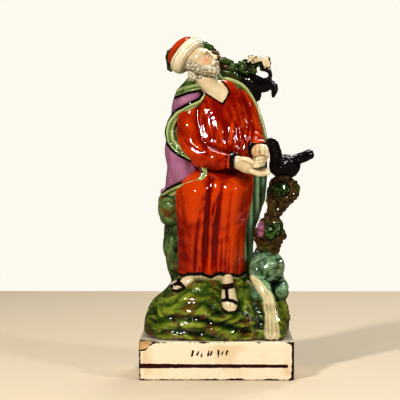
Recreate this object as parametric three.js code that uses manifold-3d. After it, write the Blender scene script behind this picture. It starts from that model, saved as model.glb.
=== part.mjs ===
// A press-moulded earthenware chimney ornament: a seated, bearded prophet in a long robe and cloak,
// fed by two ravens, on a rocky mound with a stream, fired in one with its square plinth.
// Millimetres, +Z up, the figure looks out along -Y. The origin is the centre of the plinth's underside.
import * as THREE from "three";
import { mergeVertices } from "three/addons/utils/BufferGeometryUtils.js";
import Module from "manifold-3d";

// Driving dimensions
const plinthWidth = 112;
const plinthDepth = 86;
const plinthHeight = 28;
const plinthCornerRadius = 2.5;
const plinthEdgeRound = 0.9;
const moundMargin = 1.2; // bare ledge of the plinth beside and in front of the mound
const figureHeight = 220.5; // from the plinth's top to the crown of the cap

// The free forms below are drawn in shares of the figure's height, 220.5 of them from plinth to cap
const share = figureHeight / 220.5;
const sunk = 3; // how far the lowest forms reach down into the clay of the plinth

const wasm = await Module();
wasm.setup();

// Helpers

const clamp = (v, low, high) => Math.min(high, Math.max(low, v));

// A smooth run through rows of numbers, at t from 0 to 1.
function along(rows, t) {
  const place = clamp(t, 0, 1) * (rows.length - 1);
  const i = Math.min(Math.floor(place), rows.length - 2);
  const f = place - i;
  const before = rows[Math.max(i - 1, 0)];
  const after = rows[Math.min(i + 2, rows.length - 1)];
  return rows[i].map((a, k) => {
    const b = rows[i + 1][k];
    const slopeA = (b - before[k]) / 2;
    const slopeB = (after[k] - a) / 2;
    const bend = 3 * (b - a) - 2 * slopeA - slopeB;
    return a + f * (slopeA + f * (bend + f * (slopeA + slopeB - 2 * (b - a))));
  });
}

// Every rounded form is a sphere's mesh, moved by place(t, angle): t runs up the form, angle goes round it.
// Crowding gathers the mesh towards the front, where the carving is.
function moulded(place, around, rings, crowding = 0) {
  const geometry = new THREE.SphereGeometry(1, around, rings);
  const position = geometry.getAttribute("position");
  for (let i = 0; i < position.count; i++) {
    const t = (1 + position.getY(i)) / 2;
    const even = Math.atan2(-position.getZ(i), position.getX(i));
    const p = place(t, even - crowding * Math.cos(even));
    position.setXYZ(i, p.x * share, p.y * share, p.z * share);
  }
  return geometry;
}

// How full a form is at t: it closes at both ends, roundly at fullness 2 and nearly flat at 8.
const closing = (t, fullness) => {
  const edge = Math.abs(2 * t - 1) ** fullness;
  return Math.max(0, 1 - edge) ** (1 / fullness);
};

const frontness = (angle) => clamp(-1.6 * Math.sin(angle), 0, 1);

// A form with level sections. Each level is [height, centre x, centre y, half width, half depth].
// Sections are oval at squareness 2 and more like a rounded square above it.
function upright(levels, around, rings, options = {}) {
  const { fullness = 4, relief = null, ripple = null, crowding = 0, squareness = 2 } = options;
  return moulded(
    (t, angle) => {
      const [z, cx, cy, rx, ry] = along(levels, t);
      const corner = Math.abs(Math.cos(angle)) ** squareness + Math.abs(Math.sin(angle)) ** squareness;
      const full = (closing(t, fullness) * (ripple ? ripple(t, angle) : 1)) / corner ** (1 / squareness);
      const x = cx + rx * full * Math.cos(angle);
      const y = cy + ry * full * Math.sin(angle);
      const carved = relief ? relief(x, z) * frontness(angle) * Math.min(1, full) : 0;
      return new THREE.Vector3(x, y + carved, z);
    },
    around,
    rings,
    crowding,
  );
}

// A rounded limb along a smooth spine. Each station is [x, y, z, radius]; depth flattens it along `facing`.
function limb(stations, around, rings, options = {}) {
  const { fullness = 4, depth = 1, ripple = null, facing = [0, 1, 0] } = options;
  const back = new THREE.Vector3(...facing);
  const step = 0.01;
  return moulded(
    (t, angle) => {
      const [x, y, z, radius] = along(stations, t);
      const ahead = along(stations, Math.min(1, t + step));
      const behind = along(stations, Math.max(0, t - step));
      const run = new THREE.Vector3(...ahead).sub(new THREE.Vector3(...behind)).normalize();
      const side = new THREE.Vector3().crossVectors(back, run).normalize();
      const rear = new THREE.Vector3().crossVectors(run, side);
      const full = radius * closing(t, fullness) * (ripple ? ripple(t, angle) : 1);
      return new THREE.Vector3(x, y, z)
        .addScaledVector(side, full * Math.cos(angle))
        .addScaledVector(rear, full * depth * Math.sin(angle));
    },
    around,
    rings,
  );
}

// An oval ball with half sizes [x, y, z], turned by `lean` radians in the front view.
function ball(centre, sizes, around, rings, lean = 0) {
  return moulded(
    (t, angle) => {
      const full = closing(t, 2);
      const x = sizes[0] * full * Math.cos(angle);
      const y = sizes[1] * full * Math.sin(angle);
      const z = sizes[2] * (2 * t - 1);
      const turnedX = x * Math.cos(lean) - z * Math.sin(lean);
      const turnedZ = x * Math.sin(lean) + z * Math.cos(lean);
      return new THREE.Vector3(centre[0] + turnedX, centre[1] + y, centre[2] + turnedZ);
    },
    around,
    rings,
  );
}

// Carving strokes seen from the front, each {path: [[x, z], ...], width, depth}. A minus depth stands proud.
function strokes(list) {
  return (x, z) =>
    list.reduce((sum, { path, width, depth }) => {
      let nearest = Infinity;
      let fade = 0;
      for (let i = 0; i + 1 < path.length; i++) {
        const [ax, az] = path[i];
        const runX = path[i + 1][0] - ax;
        const runZ = path[i + 1][1] - az;
        const f = clamp(((x - ax) * runX + (z - az) * runZ) / (runX * runX + runZ * runZ), 0, 1);
        const far = Math.hypot(x - ax - f * runX, z - az - f * runZ);
        if (far < nearest) {
          nearest = far;
          const place = (i + f) / (path.length - 1);
          fade = Math.min(1, 0.35 + 3 * place, 0.35 + 3 * (1 - place));
        }
      }
      return sum + depth * fade * Math.exp(-((nearest / width) ** 2));
    }, 0);
}

function solid(geometry) {
  geometry.deleteAttribute("normal");
  geometry.deleteAttribute("uv");
  const merged = mergeVertices(geometry, 1e-3);
  return new wasm.Manifold(
    new wasm.Mesh({
      numProp: 3,
      vertProperties: merged.attributes.position.array,
      triVerts: new Uint32Array(merged.index.array),
    }),
  );
}

const joined = (geometries) => geometries.map(solid).reduce((sum, piece) => sum.add(piece));

// Plinth

function plinth() {
  const halfWidth = plinthWidth / 2 - plinthEdgeRound;
  const halfDepth = plinthDepth / 2 - plinthEdgeRound;
  const radius = plinthCornerRadius - plinthEdgeRound;
  const outline = new THREE.Shape();
  outline.moveTo(-halfWidth + radius, -halfDepth);
  outline.absarc(halfWidth - radius, -halfDepth + radius, radius, -Math.PI / 2, 0);
  outline.absarc(halfWidth - radius, halfDepth - radius, radius, 0, Math.PI / 2);
  outline.absarc(-halfWidth + radius, halfDepth - radius, radius, Math.PI / 2, Math.PI);
  outline.absarc(-halfWidth + radius, -halfDepth + radius, radius, Math.PI, (3 * Math.PI) / 2);
  const block = new THREE.ExtrudeGeometry(outline, {
    depth: plinthHeight - 2 * plinthEdgeRound,
    bevelThickness: plinthEdgeRound,
    bevelSize: plinthEdgeRound,
    bevelSegments: 2,
    curveSegments: 3,
  });
  block.translate(0, 0, plinthEdgeRound);
  return solid(block);
}

// Ground: the mound, the rocks and the stream

const moundGrooves = strokes([
  { path: [[-46, 22], [-30, 27], [-8, 26], [6, 18]], width: 2.4, depth: 2.2 },
  { path: [[-50, 11], [-30, 17], [-6, 14], [20, 7], [34, 12]], width: 2.4, depth: 2.4 },
  { path: [[-52, 3], [-34, 7], [-10, 5], [10, 0]], width: 2.2, depth: 2 },
  { path: [[-38, 35], [-24, 36], [-8, 32]], width: 2.2, depth: 1.8 },
  { path: [[18, 38], [27, 28], [30, 12], [28, 0]], width: 2.4, depth: 2.4 },
  { path: [[-22, 21], [-8, 20], [2, 11]], width: 2.2, depth: -1.6 },
  { path: [[14, 14], [20, 21], [22, 32]], width: 2.4, depth: -1.4 },
]);

function ground() {
  const footWidth = (plinthWidth / 2 - moundMargin) / share;
  const footDepth = (plinthDepth / 2 - moundMargin) / share;
  const mound = upright(
    [
      [-sunk, 0, 0, footWidth, footDepth],
      [5, 0, 0, footWidth - 0.6, footDepth - 0.4],
      [16, -0.5, 0.5, 51.5, 40],
      [26, -1, 1.5, 45.5, 36],
      [34, -1, 3, 36.5, 31],
      [41, -1.5, 4, 31, 26],
      [47, -3, 5, 26, 19],
    ],
    26,
    9,
    {
      fullness: 7,
      relief: moundGrooves,
      crowding: 0.35,
      squareness: 2.5,
      ripple: (t, angle) => 1 + 0.012 * Math.sin(5 * angle + 9 * t) * Math.sin(Math.PI * t),
    },
  );
  const lumps = [
    ball([36.5, -9, 51], [13, 13, 12.5], 9, 6, 0.2),
    ball([47, -2, 33], [6.8, 10, 11], 8, 6, -0.1),
    ball([47.5, -5, 14], [7, 11, 15], 8, 6, 0.05),
    ball([36, 13, 40], [14, 17, 26], 9, 6),
    ball([-33, 7, 94], [11.3, 9, 13.5], 9, 6, 0.05),
    ball([-31.5, 9, 66], [8, 8, 13], 8, 5, -0.05),
  ];
  const seat = upright(
    [
      [34, -5, 14, 29, 20],
      [43, -5.5, 14, 29.5, 20],
      [54, -7.5, 14, 31, 20],
      [66, -7.5, 14, 31.8, 19],
      [80, -7.5, 13, 31, 18.5],
      [92, -7, 12, 33, 18],
      [108, -5, 11, 34, 17.5],
    ],
    12,
    7,
    { fullness: 7, ripple: (t, angle) => 1 + 0.03 * Math.sin(4 * angle + 14 * t) },
  );
  const stream = limb(
    [
      [27, -15, 50, 4],
      [30, -21.5, 43, 5],
      [35.5, -27, 34, 5.6],
      [39.5, -30.5, 21, 6.4],
      [41, -33, 9, 7.4],
      [41.2, -33.6, -sunk, 8],
    ],
    9,
    10,
    { fullness: 8, depth: 0.7 },
  );
  return [mound, ...lumps, seat, stream];
}

// Tree: the trunk behind the figure, its crown, and the leafy branch over the raven

function tree() {
  const trunk = limb(
    [
      [-2, 22, 20, 18],
      [-3, 22, 60, 15],
      [-5, 22, 100, 13],
      [-6, 21, 140, 11.5],
      [-9, 18, 172, 10],
      [-13, 14, 200, 8.5],
      [-14, 12, 210, 7],
    ],
    9,
    8,
    { fullness: 8, depth: 0.8, ripple: (t, angle) => 1 + 0.07 * Math.sin(4 * angle + 8 * t) },
  );
  const crown = [
    ball([-32.6, 9, 205.4], [5.4, 6, 9.8], 8, 5, -0.15),
    ball([-17, 13, 208.5], [11, 8, 9], 8, 5, 0.2),
    ball([-6.5, 11, 210], [11.4, 6, 6.6], 8, 5, -0.6),
    ball([2, 9, 201], [7.5, 5.5, 7], 8, 5, -0.3),
    ball([10, 7.5, 193.5], [10, 6, 7.6], 8, 5, -0.3),
  ];
  const branch = limb(
    [
      [-10, 13, 203, 7],
      [4, 10, 200, 6],
      [11, 9, 197, 6.6],
      [17, 8, 197.6, 5],
      [23, 7, 199, 5.6],
      [30, 6, 199.5, 4.4],
    ],
    8,
    7,
    { fullness: 5 },
  );
  const leafCount = 6;
  const [leafX, leafY, leafZ] = [23.2, 2, 198.4];
  const [halfWidth, halfThickness, halfHeight] = [9.6, 3.4, 6.6];
  const leaves = moulded(
    (t, angle) => {
      const lobes = Math.cos(leafCount * angle + 1);
      const full = closing(t, 3) * (1 + 0.16 * lobes);
      const x = leafX + halfWidth * full * Math.cos(angle);
      const y = leafY - halfThickness * (2 * t - 1) - 0.8 * full * lobes;
      const z = leafZ + halfHeight * full * Math.sin(angle);
      return new THREE.Vector3(x, y, z);
    },
    3 * leafCount,
    4,
  );
  const brokenStubs = [stub(28, 203.8, 5.8, 4, 0.12), stub(36.6, 200.6, 4.2, 6.4, 0.25)];
  return [trunk, ...crown, branch, leaves, ...brokenStubs];
}

// The flat face left where a leaf has snapped off: a thick plate with an uneven five-sided outline.
function stub(x, z, halfWidth, halfHeight, lean) {
  const thickness = 6;
  const backY = 8.5;
  const corners = [
    [-1, -0.8],
    [0.95, -1],
    [1, 0.35],
    [0.25, 1],
    [-0.75, 0.7],
  ];
  const outline = new THREE.Shape(corners.map(([a, b]) => new THREE.Vector2(a * halfWidth, b * halfHeight)));
  const plate = new THREE.ExtrudeGeometry(outline, { depth: thickness, bevelEnabled: false });
  plate.rotateX(Math.PI / 2);
  plate.rotateY(lean);
  plate.translate(x, backY, z);
  return plate.scale(share, share, share);
}

// Stump on the right, with the raven that brings the bread

function stump() {
  return limb(
    [
      [37, -8, 50, 9],
      [38, -8, 61, 7.4],
      [39.2, -8, 74.5, 12.4],
      [41, -7.5, 84, 8.8],
      [41.8, -7, 89.5, 6],
      [45, -6.5, 98, 9],
      [49.2, -6, 108, 12],
      [48.5, -6, 114.5, 9.5],
      [48, -6, 119, 7],
    ],
    10,
    13,
    { fullness: 8, depth: 0.85, ripple: (t, angle) => 1 + 0.06 * Math.sin(3 * angle + 26 * t) },
  );
}

function lowerRaven() {
  return [
    ball([51, -6, 125.2], [11, 8.5, 9], 10, 8, 0.15),
    limb(
      [
        [48, -7, 122, 7],
        [44.8, -9, 125, 6.4],
        [43.4, -11.5, 132, 4.6],
        [42.8, -13, 138.5, 3.9],
        [41.2, -15, 144, 3.7],
        [38.2, -17, 144.4, 3.5],
        [36, -19, 141.4, 1.8],
      ],
      8,
      12,
      { fullness: 4 },
    ),
    limb(
      [
        [55, -5, 128.5, 5],
        [61, -4.5, 131, 3.9],
        [66.5, -4, 133.2, 3.8],
        [71.5, -3.5, 135, 3.6],
      ],
      8,
      6,
      { fullness: 4 },
    ),
  ];
}

function upperRaven() {
  return [
    limb(
      [
        [17.5, 8, 189.6, 4.8],
        [23, 7.5, 188.6, 6.6],
        [29, 6.5, 186.6, 6.8],
        [35, 5.5, 185.6, 5.6],
        [39, 4.5, 186, 4.8],
        [43.2, 3.5, 184.6, 4],
      ],
      9,
      8,
      { fullness: 3 },
    ),
    limb(
      [
        [41.5, 3.6, 186, 3.8],
        [43, 2.8, 182, 2.6],
        [42.4, 2.2, 179, 1.8],
        [41.8, 1.8, 176.2, 1],
      ],
      6,
      6,
      { fullness: 4 },
    ),
    limb(
      [
        [24, 8, 189, 6],
        [27.5, 7.5, 182.5, 6],
        [29.4, 7, 177.5, 4],
        [28.8, 6.5, 173.5, 2.4],
      ],
      8,
      6,
      { fullness: 4, depth: 0.8 },
    ),
    limb(
      [
        [38.8, 5, 189, 1.6],
        [40, 5, 193, 1.4],
        [38.6, 5.5, 197, 1.8],
      ],
      5,
      4,
      { fullness: 8 },
    ),
  ];
}

// Cloak: its outside behind the shoulders, its turned edge, its lining, and the fall on the right

function cloak() {
  const mantle = upright(
    [
      [98, -4, 9, 37.6, 19],
      [106, -3, 9, 38.6, 19.5],
      [116, 0.2, 8, 35.4, 19.5],
      [134, 2.2, 7, 33.5, 19],
      [150, 1.4, 6, 35, 18.5],
      [164, -0.6, 6, 33, 18],
      [175, -1.5, 6.5, 30.6, 17],
      [183, -2.6, 7, 26, 14.5],
      [190, -3.6, 8, 19, 11],
      [196, -5, 9, 12, 8],
    ],
    17,
    10,
    {
      fullness: 6,
      ripple: (t, angle) => 1 + 0.03 * clamp(2 * Math.sin(angle), 0, 1) * Math.cos(9 * angle + 2 * t),
    },
  );
  const turnedEdge = limb(
    [
      [-9, -10.5, 179.5, 1.8],
      [-12, -12.5, 173.4, 2],
      [-20, -11.5, 168.6, 2.4],
      [-27.4, -9, 164.8, 2.6],
      [-33, -8, 157.4, 3.1],
      [-34.6, -8.5, 150, 3.5],
      [-32.6, -10, 142.6, 3.4],
      [-27.6, -13, 136.6, 3],
      [-20.2, -18, 132.4, 2.6],
      [-11.4, -22.5, 126.6, 2.3],
      [-8.8, -23, 121, 2.3],
      [-12, -24.6, 115.6, 2.1],
      [-20, -21.5, 112.7, 2],
      [-28.8, -13, 109.8, 2],
      [-36, -5, 106.6, 2],
      [-40.6, 3, 103.8, 2],
    ],
    5,
    17,
    { fullness: 8, depth: 0.8 },
  );
  const lining = limb(
    [
      [-29, -5, 167, 3],
      [-32.5, -6, 156, 4.6],
      [-31.5, -7.5, 145, 5.4],
      [-26, -10, 135.5, 4.8],
      [-19.5, -15, 128, 3],
    ],
    8,
    7,
    { fullness: 3, depth: 0.75 },
  );
  const hipFold = limb(
    [
      [-33, -3, 150, 5],
      [-28.6, -5.6, 138, 10],
      [-24.5, -7, 125, 12],
      [-26, -3, 114, 12],
      [-30, 2, 104, 10],
    ],
    9,
    7,
    { fullness: 5 },
  );
  const rightEdge = limb(
    [
      [1, -2, 189.6, 2.2],
      [11, -1, 188.2, 2.2],
      [20, -0.8, 183.2, 2.2],
      [27, -1.4, 173, 2.2],
      [30.6, -2, 164, 2.3],
      [33.2, -2.6, 155, 2.5],
      [35, -4, 145, 2.6],
      [36, -6, 133, 2.6],
    ],
    6,
    10,
    { fullness: 8, depth: 1.3 },
  );
  const fall = limb(
    [
      [24, 5, 150, 12],
      [25, 4, 128, 13],
      [23.6, 3, 104, 12.6],
      [18, 2, 78, 10.4],
      [17, 1, 56, 10],
      [17, 1, 44, 10],
    ],
    10,
    8,
    { fullness: 6, depth: 0.8 },
  );
  return [mantle, turnedEdge, lining, hipFold, rightEdge, fall];
}

// Robe: the pleats are carved alike into each form that carries them

const pleats = strokes([
  { path: [[9, 173], [14, 155], [15.5, 136]], width: 1.9, depth: 1.9 },
  { path: [[17, 177], [21, 159], [21.6, 138]], width: 1.9, depth: 1.9 },
  { path: [[24.5, 172], [27.2, 157], [26, 141]], width: 1.7, depth: 1.6 },
  { path: [[5, 166], [7, 152], [4, 139]], width: 1.9, depth: 1.7 },
  { path: [[-3, 168], [-1.5, 152], [-4, 142]], width: 2.6, depth: 2.4 },
  { path: [[-9, 172], [-9, 158], [-11, 147]], width: 2.6, depth: 2.2 },
  { path: [[12.5, 160], [10.5, 148], [9, 138]], width: 1.7, depth: -1.3 },
  { path: [[-2.5, 121], [-5.4, 101], [-7.6, 76], [-8.6, 50]], width: 2.6, depth: 3.1 },
  { path: [[4.4, 119], [1.8, 101], [-0.5, 76], [-2.5, 47]], width: 2.2, depth: 2.4 },
  { path: [[-8, 113], [-12, 90], [-15, 68], [-15.8, 48]], width: 2.2, depth: 1.6 },
  { path: [[10.4, 117], [9, 97], [6, 72], [4.4, 48]], width: 2.1, depth: 1.7 },
  { path: [[20.4, 115], [18.4, 94], [16.6, 68], [15.6, 47]], width: 2.2, depth: 1.7 },
  { path: [[-24, 102], [-25, 76], [-24, 52]], width: 2.4, depth: 1.3 },
  { path: [[-7, 98], [-3.4, 88], [0.2, 98]], width: 1.8, depth: -1.5 },
  { path: [[-16, 116], [-18, 104], [-19, 76], [-19.5, 48]], width: 8, depth: -3.4 },
  { path: [[12, 118], [14, 106], [11.5, 78], [10, 48]], width: 8, depth: -3.4 },
]);

function robe() {
  const chest = upright(
    [
      [119, 4.5, -3, 23, 17],
      [124, 4.5, -4, 24.5, 18.5],
      [131, 5, -5, 27, 20.5],
      [143, 5, -4.5, 28, 20.5],
      [156, 4, -3, 26.5, 19],
      [168, 2.6, -1, 24.5, 17],
      [179, 3, 1, 19.5, 14],
      [190, 3, 3, 11, 10],
    ],
    24,
    10,
    { fullness: 5, relief: pleats, crowding: 0.35 },
  );
  const skirt = upright(
    [
      [44.5, -3, -4, 25.6, 18],
      [50, -3, -4.5, 25.4, 18.5],
      [62, -3.6, -5, 25, 18.5],
      [80, -3.4, -6.5, 25.6, 19.5],
      [97, -2.2, -8, 28, 21],
      [109, -1.2, -8, 28.6, 21.5],
      [119, 1, -5.5, 26.5, 19.5],
      [126, 3, -3, 22, 15],
    ],
    26,
    11,
    { fullness: 9, relief: pleats, crowding: 0.4 },
  );
  const collar = limb(
    [
      [-11, -10, 181, 1.4],
      [-2.6, -13.6, 175.7, 1.6],
      [4.7, -15.8, 171.6, 1.7],
      [9.4, -11.6, 179.2, 1.6],
      [4.4, -6.6, 186.3, 1.5],
      [0.2, -3.4, 191.7, 1.4],
    ],
    6,
    10,
    { fullness: 8 },
  );
  const rightSleeve = limb(
    [
      [-11, 0, 182, 5.5],
      [-14.8, -3.5, 173, 8.2],
      [-18.6, -7, 159, 10.8],
      [-17, -12, 144.5, 10.8],
      [-10.5, -18, 134, 9.6],
      [-1, -24, 130.5, 7.8],
      [10, -28.4, 129.4, 6],
    ],
    10,
    12,
    { fullness: 6, depth: 0.95, ripple: (t, angle) => 1 + 0.03 * Math.sin(3 * angle + 30 * t) },
  );
  const leftSleeve = limb(
    [
      [14, 1, 181, 6],
      [20, -2, 173, 6.8],
      [25, -5, 159, 7],
      [27.6, -9, 148, 6.8],
      [29.6, -15, 142.5, 6.4],
      [30.6, -20.5, 139.6, 5.4],
    ],
    9,
    9,
    { fullness: 6, facing: [1, 0.4, 0], ripple: (t, angle) => 1 + 0.03 * Math.sin(3 * angle + 24 * t) },
  );
  const rightCuff = limb(
    [
      [9, -28.2, 129.6, 6.4],
      [11.4, -28.8, 129.4, 6.5],
      [13.8, -29.4, 129.2, 6],
    ],
    10,
    4,
    { fullness: 8 },
  );
  const leftCuff = limb(
    [
      [30.5, -18.6, 140.6, 6],
      [30.7, -20.8, 139.6, 6.1],
      [30.8, -23, 138.4, 5.6],
    ],
    10,
    4,
    { fullness: 8, facing: [1, 0.4, 0] },
  );
  return [chest, skirt, collar, rightSleeve, leftSleeve, rightCuff, leftCuff];
}

// Hands, bread and sandalled feet

function hands() {
  const rightHand = limb(
    [
      [12.5, -29, 129.4, 4.6],
      [17, -29.8, 128, 4.8],
      [22, -30.4, 125.4, 4.4],
      [27.5, -30.6, 122.8, 3.4],
      [33.5, -30.4, 121.4, 2.6],
      [39, -29.8, 122.2, 1.8],
    ],
    9,
    8,
    { fullness: 4, depth: 1.25 },
  );
  const thumb = limb(
    [
      [17, -30.6, 130.8, 2.4],
      [22.5, -32.6, 130.2, 2.2],
      [27.5, -33.6, 127.6, 1.8],
    ],
    6,
    5,
    { fullness: 4 },
  );
  const leftPalm = limb(
    [
      [30.8, -21, 139, 4.4],
      [31, -25, 135, 4.8],
      [30.6, -28.6, 130.6, 4.4],
      [29.4, -31, 127.2, 3.2],
    ],
    7,
    5,
    { facing: [1, 0.4, 0] },
  );
  const leftFingers = [0, 1].map((i) =>
    limb(
      [
        [34.4 - 1.2 * i, -29.4 - 1.8 * i, 132 - 4 * i, 2.6],
        [30.6 - 1.8 * i, -33 - 1 * i, 129.8 - 3.4 * i, 2.4],
        [26.6 - 1.6 * i, -34 - 0.4 * i, 128.2 - 2.6 * i, 1.8],
      ],
      6,
      4,
    ),
  );
  const bread = ball([31.6, -30.4, 134.8], [6.2, 4.8, 6.8], 9, 6, 0.1);
  return [rightHand, thumb, leftPalm, ...leftFingers, bread];
}

function feet() {
  const sole = (stations) => limb(stations, 8, 7, { facing: [1, 0.2, 0] });
  return [
    sole([
      [8, -16.5, 47, 4.2],
      [8.3, -21.5, 41.5, 4.2],
      [8.8, -29.5, 34.5, 5.2],
      [9.6, -34.8, 25.6, 6.4],
      [10, -36.6, 20, 6.2],
    ]),
    sole([
      [-17.5, -12, 47, 4],
      [-20, -16, 42, 4],
      [-25, -18.4, 39.4, 4.6],
      [-30, -19.6, 36.8, 5],
      [-33, -20.2, 35.6, 4.8],
    ]),
  ];
}

// Head: built upright, facing the front, about its own middle, then turned to look up at the raven

const headPlace = [-12.6, -3, 201.2];
const headSize = 0.92;
const headTurn = THREE.MathUtils.degToRad(64);
const headTilt = THREE.MathUtils.degToRad(28);
const capTilt = THREE.MathUtils.degToRad(24);

function inHeadFrame(geometry) {
  const place = new THREE.Matrix4().makeTranslation(...headPlace.map((v) => v * share));
  const turn = new THREE.Matrix4().makeRotationZ(headTurn);
  const tilt = new THREE.Matrix4().makeRotationX(-headTilt);
  const size = new THREE.Matrix4().makeScale(headSize, headSize, headSize);
  return geometry.applyMatrix4(place.multiply(turn).multiply(tilt).multiply(size));
}

// The features of the face, as strokes: brow, nose, eye hollows, eyes, cheeks and lower lip.
const features = strokes([
  { path: [[-6.4, 3.4], [-2, 4.4], [2, 4.4], [6.4, 3.4]], width: 1.5, depth: -1.1 },
  { path: [[0, 4], [0, 0], [0, -3.4]], width: 1.5, depth: -3.6 },
  { path: [[-1.4, -3.8], [1.4, -3.8]], width: 1.3, depth: -1.6 },
  { path: [[-5, 1], [-3, 1]], width: 1.8, depth: 1.7 },
  { path: [[3, 1], [5, 1]], width: 1.8, depth: 1.7 },
  { path: [[-4.4, 0.8], [-3.6, 0.8]], width: 1.2, depth: -1.1 },
  { path: [[3.6, 0.8], [4.4, 0.8]], width: 1.2, depth: -1.1 },
  { path: [[-6, -3.4], [-4.6, -3.8]], width: 2.4, depth: -0.9 },
  { path: [[4.6, -3.8], [6, -3.4]], width: 2.4, depth: -0.9 },
  { path: [[-1.8, -8.2], [1.8, -8.2]], width: 1, depth: -1.1 },
]);

function head() {
  const skull = upright(
    [
      [-13.6, 0, -6.6, 4, 5.4],
      [-10.4, 0, -4.6, 7.2, 8.4],
      [-5, 0, -2.2, 9.2, 10.8],
      [1, 0, 0, 10, 12.4],
      [7, 0, 0.4, 9.8, 12.4],
      [13, 0, 0.6, 7, 9],
    ],
    18,
    13,
    { fullness: 3, relief: features, crowding: 0.45 },
  );
  const moustache = limb(
    [
      [-6, -10.4, -8.6, 1.3],
      [-3, -12.8, -6.8, 1.8],
      [0, -13.8, -6, 1.4],
      [3, -12.8, -6.8, 1.8],
      [6, -10.4, -8.6, 1.3],
    ],
    5,
    8,
  );
  const curls = (t, angle) => 1 + 0.09 * Math.cos(8 * angle + 2) * Math.cos(6 * Math.PI * t);
  const beard = upright(
    [
      [-17.4, 0, -8.8, 3, 3.4],
      [-14.6, 0, -7.6, 6.4, 6],
      [-11, 0, -6, 8.8, 8],
      [-7.6, 0, -4.2, 10, 9],
      [-4.6, 0, -1.6, 10.4, 8.4],
      [-2, 0, 1.4, 9.6, 6.6],
    ],
    18,
    8,
    { ripple: curls },
  );
  const nape = ball([0, 7.6, -7], [9, 5.4, 6], 10, 5);
  return [skull, moustache, beard, nape].map(inHeadFrame);
}

function cap() {
  const bandFolds = 4;
  const bandLevels = [
    [1.5, 14.2],
    [4, 16.2],
    [8, 16.6],
    [11.6, 15.6],
  ];
  const band = moulded(
    (t, angle) => {
      const [z, radius] = along(bandLevels, t);
      const wraps = 1 + 0.022 * Math.cos(2 * Math.PI * bandFolds * t + 0.7 * Math.sin(angle));
      const full = radius * closing(t, 6) * wraps;
      return new THREE.Vector3(0.9 * full * Math.cos(angle), full * Math.sin(angle), z);
    },
    14,
    7,
  );
  const crown = upright(
    [
      [5, 0, 0, 12.6, 14.4],
      [11.6, 0, 0.4, 12.8, 14.6],
      [16.6, 0, 0.9, 10.6, 11.8],
      [20.2, 0, 1.4, 4.6, 5],
    ],
    10,
    5,
  );
  const lean = new THREE.Matrix4().makeRotationX(-capTilt);
  const seat = new THREE.Matrix4().makeTranslation(0, 4 * share, 5 * share);
  return [band, crown].map((geometry) => inHeadFrame(geometry.applyMatrix4(lean).applyMatrix4(seat)));
}

function neck() {
  return limb(
    [
      [-13, 0, 197, 8.4],
      [-9.5, -1, 190, 8],
      [-4.5, -2.6, 183, 8],
      [1, -5, 177, 8],
      [4, -6.5, 172, 7],
    ],
    10,
    7,
  );
}

// The whole ornament is one fired body

const figureForms = [
  ...ground(),
  ...tree(),
  stump(),
  ...lowerRaven(),
  ...upperRaven(),
  ...cloak(),
  ...robe(),
  ...hands(),
  ...feet(),
  ...head(),
  ...cap(),
  neck(),
];

const figure = joined(figureForms).translate(0, 0, plinthHeight);
const ornament = plinth().add(figure);

const mesh = ornament.getMesh();
const geometry = new THREE.BufferGeometry();
geometry.setAttribute("position", new THREE.BufferAttribute(mesh.vertProperties, 3));
geometry.setIndex(new THREE.BufferAttribute(mesh.triVerts, 1));
geometry.computeVertexNormals();

const glazedEarthenware = new THREE.MeshStandardMaterial({ color: 0xd9c9a0, roughness: 0.2, metalness: 0 });
const figureGroup = new THREE.Mesh(geometry, glazedEarthenware);
figureGroup.name = "figure_group";

const part = new THREE.Group();
part.add(figureGroup);

export default part;
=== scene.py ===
"""Looks of a glazed and enamelled earthenware ornament: a seated, bearded figure fed by two ravens.

Every form is drawn in millimetres above the plinth's top, as the part's source draws it. A piece's forms are
fused with a fine remesh, smoothed like pressed clay and carved with strokes. The painter's masks go into the
mesh as attributes, which the enamels read.
"""

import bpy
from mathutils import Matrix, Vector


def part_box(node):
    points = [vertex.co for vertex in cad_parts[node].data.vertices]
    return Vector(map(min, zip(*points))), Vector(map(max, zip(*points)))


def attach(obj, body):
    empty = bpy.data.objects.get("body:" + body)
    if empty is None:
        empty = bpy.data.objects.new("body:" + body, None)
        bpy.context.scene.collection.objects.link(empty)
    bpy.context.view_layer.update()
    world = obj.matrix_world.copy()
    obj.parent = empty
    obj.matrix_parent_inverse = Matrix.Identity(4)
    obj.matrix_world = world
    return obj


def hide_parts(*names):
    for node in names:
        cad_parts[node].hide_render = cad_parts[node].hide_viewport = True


bl_info = {
    "name": "Enamelled earthenware ornament",
    "version": (1, 0, 0),
    "blender": (4, 5, 0),
    "location": "View3D > Sidebar > Ornament",
    "description": "Builds the glazed pieces of a moulded earthenware group around its frame",
    "category": "Add Mesh",
}

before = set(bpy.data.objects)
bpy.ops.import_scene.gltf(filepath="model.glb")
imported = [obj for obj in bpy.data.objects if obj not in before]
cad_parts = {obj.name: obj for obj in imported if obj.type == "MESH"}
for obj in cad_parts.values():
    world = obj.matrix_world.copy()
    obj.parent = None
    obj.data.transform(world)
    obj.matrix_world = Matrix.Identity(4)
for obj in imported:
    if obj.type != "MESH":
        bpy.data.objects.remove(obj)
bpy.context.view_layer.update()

import math

import bmesh
import bpy
import numpy as np
from mathutils import Matrix, Vector

MM = 0.001
NODE = "figure_group"
BOX_LOW, BOX_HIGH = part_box(NODE)

PLINTH_HEIGHT = 28.0
FIGURE_HEIGHT = BOX_HIGH.z / MM - PLINTH_HEIGHT
DRAWN_HEIGHT = 220.5  # the forms are drawn in shares of the figure's height, this many from plinth to cap

# The photograph's view: places in mm, and the vanishing point and focal length in its 400 pixel frame
CAMERA_PLACE = (0.0, -1243.0, 176.0)
CAMERA_AIM = (-12.2, 0.0, 128.3)
PICTURE_SIZE = 400
EYE_PIXEL = (216.45, 135.0)
FOCAL_PIXELS = 1676.0
SENSOR_MM = 36.0


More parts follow.
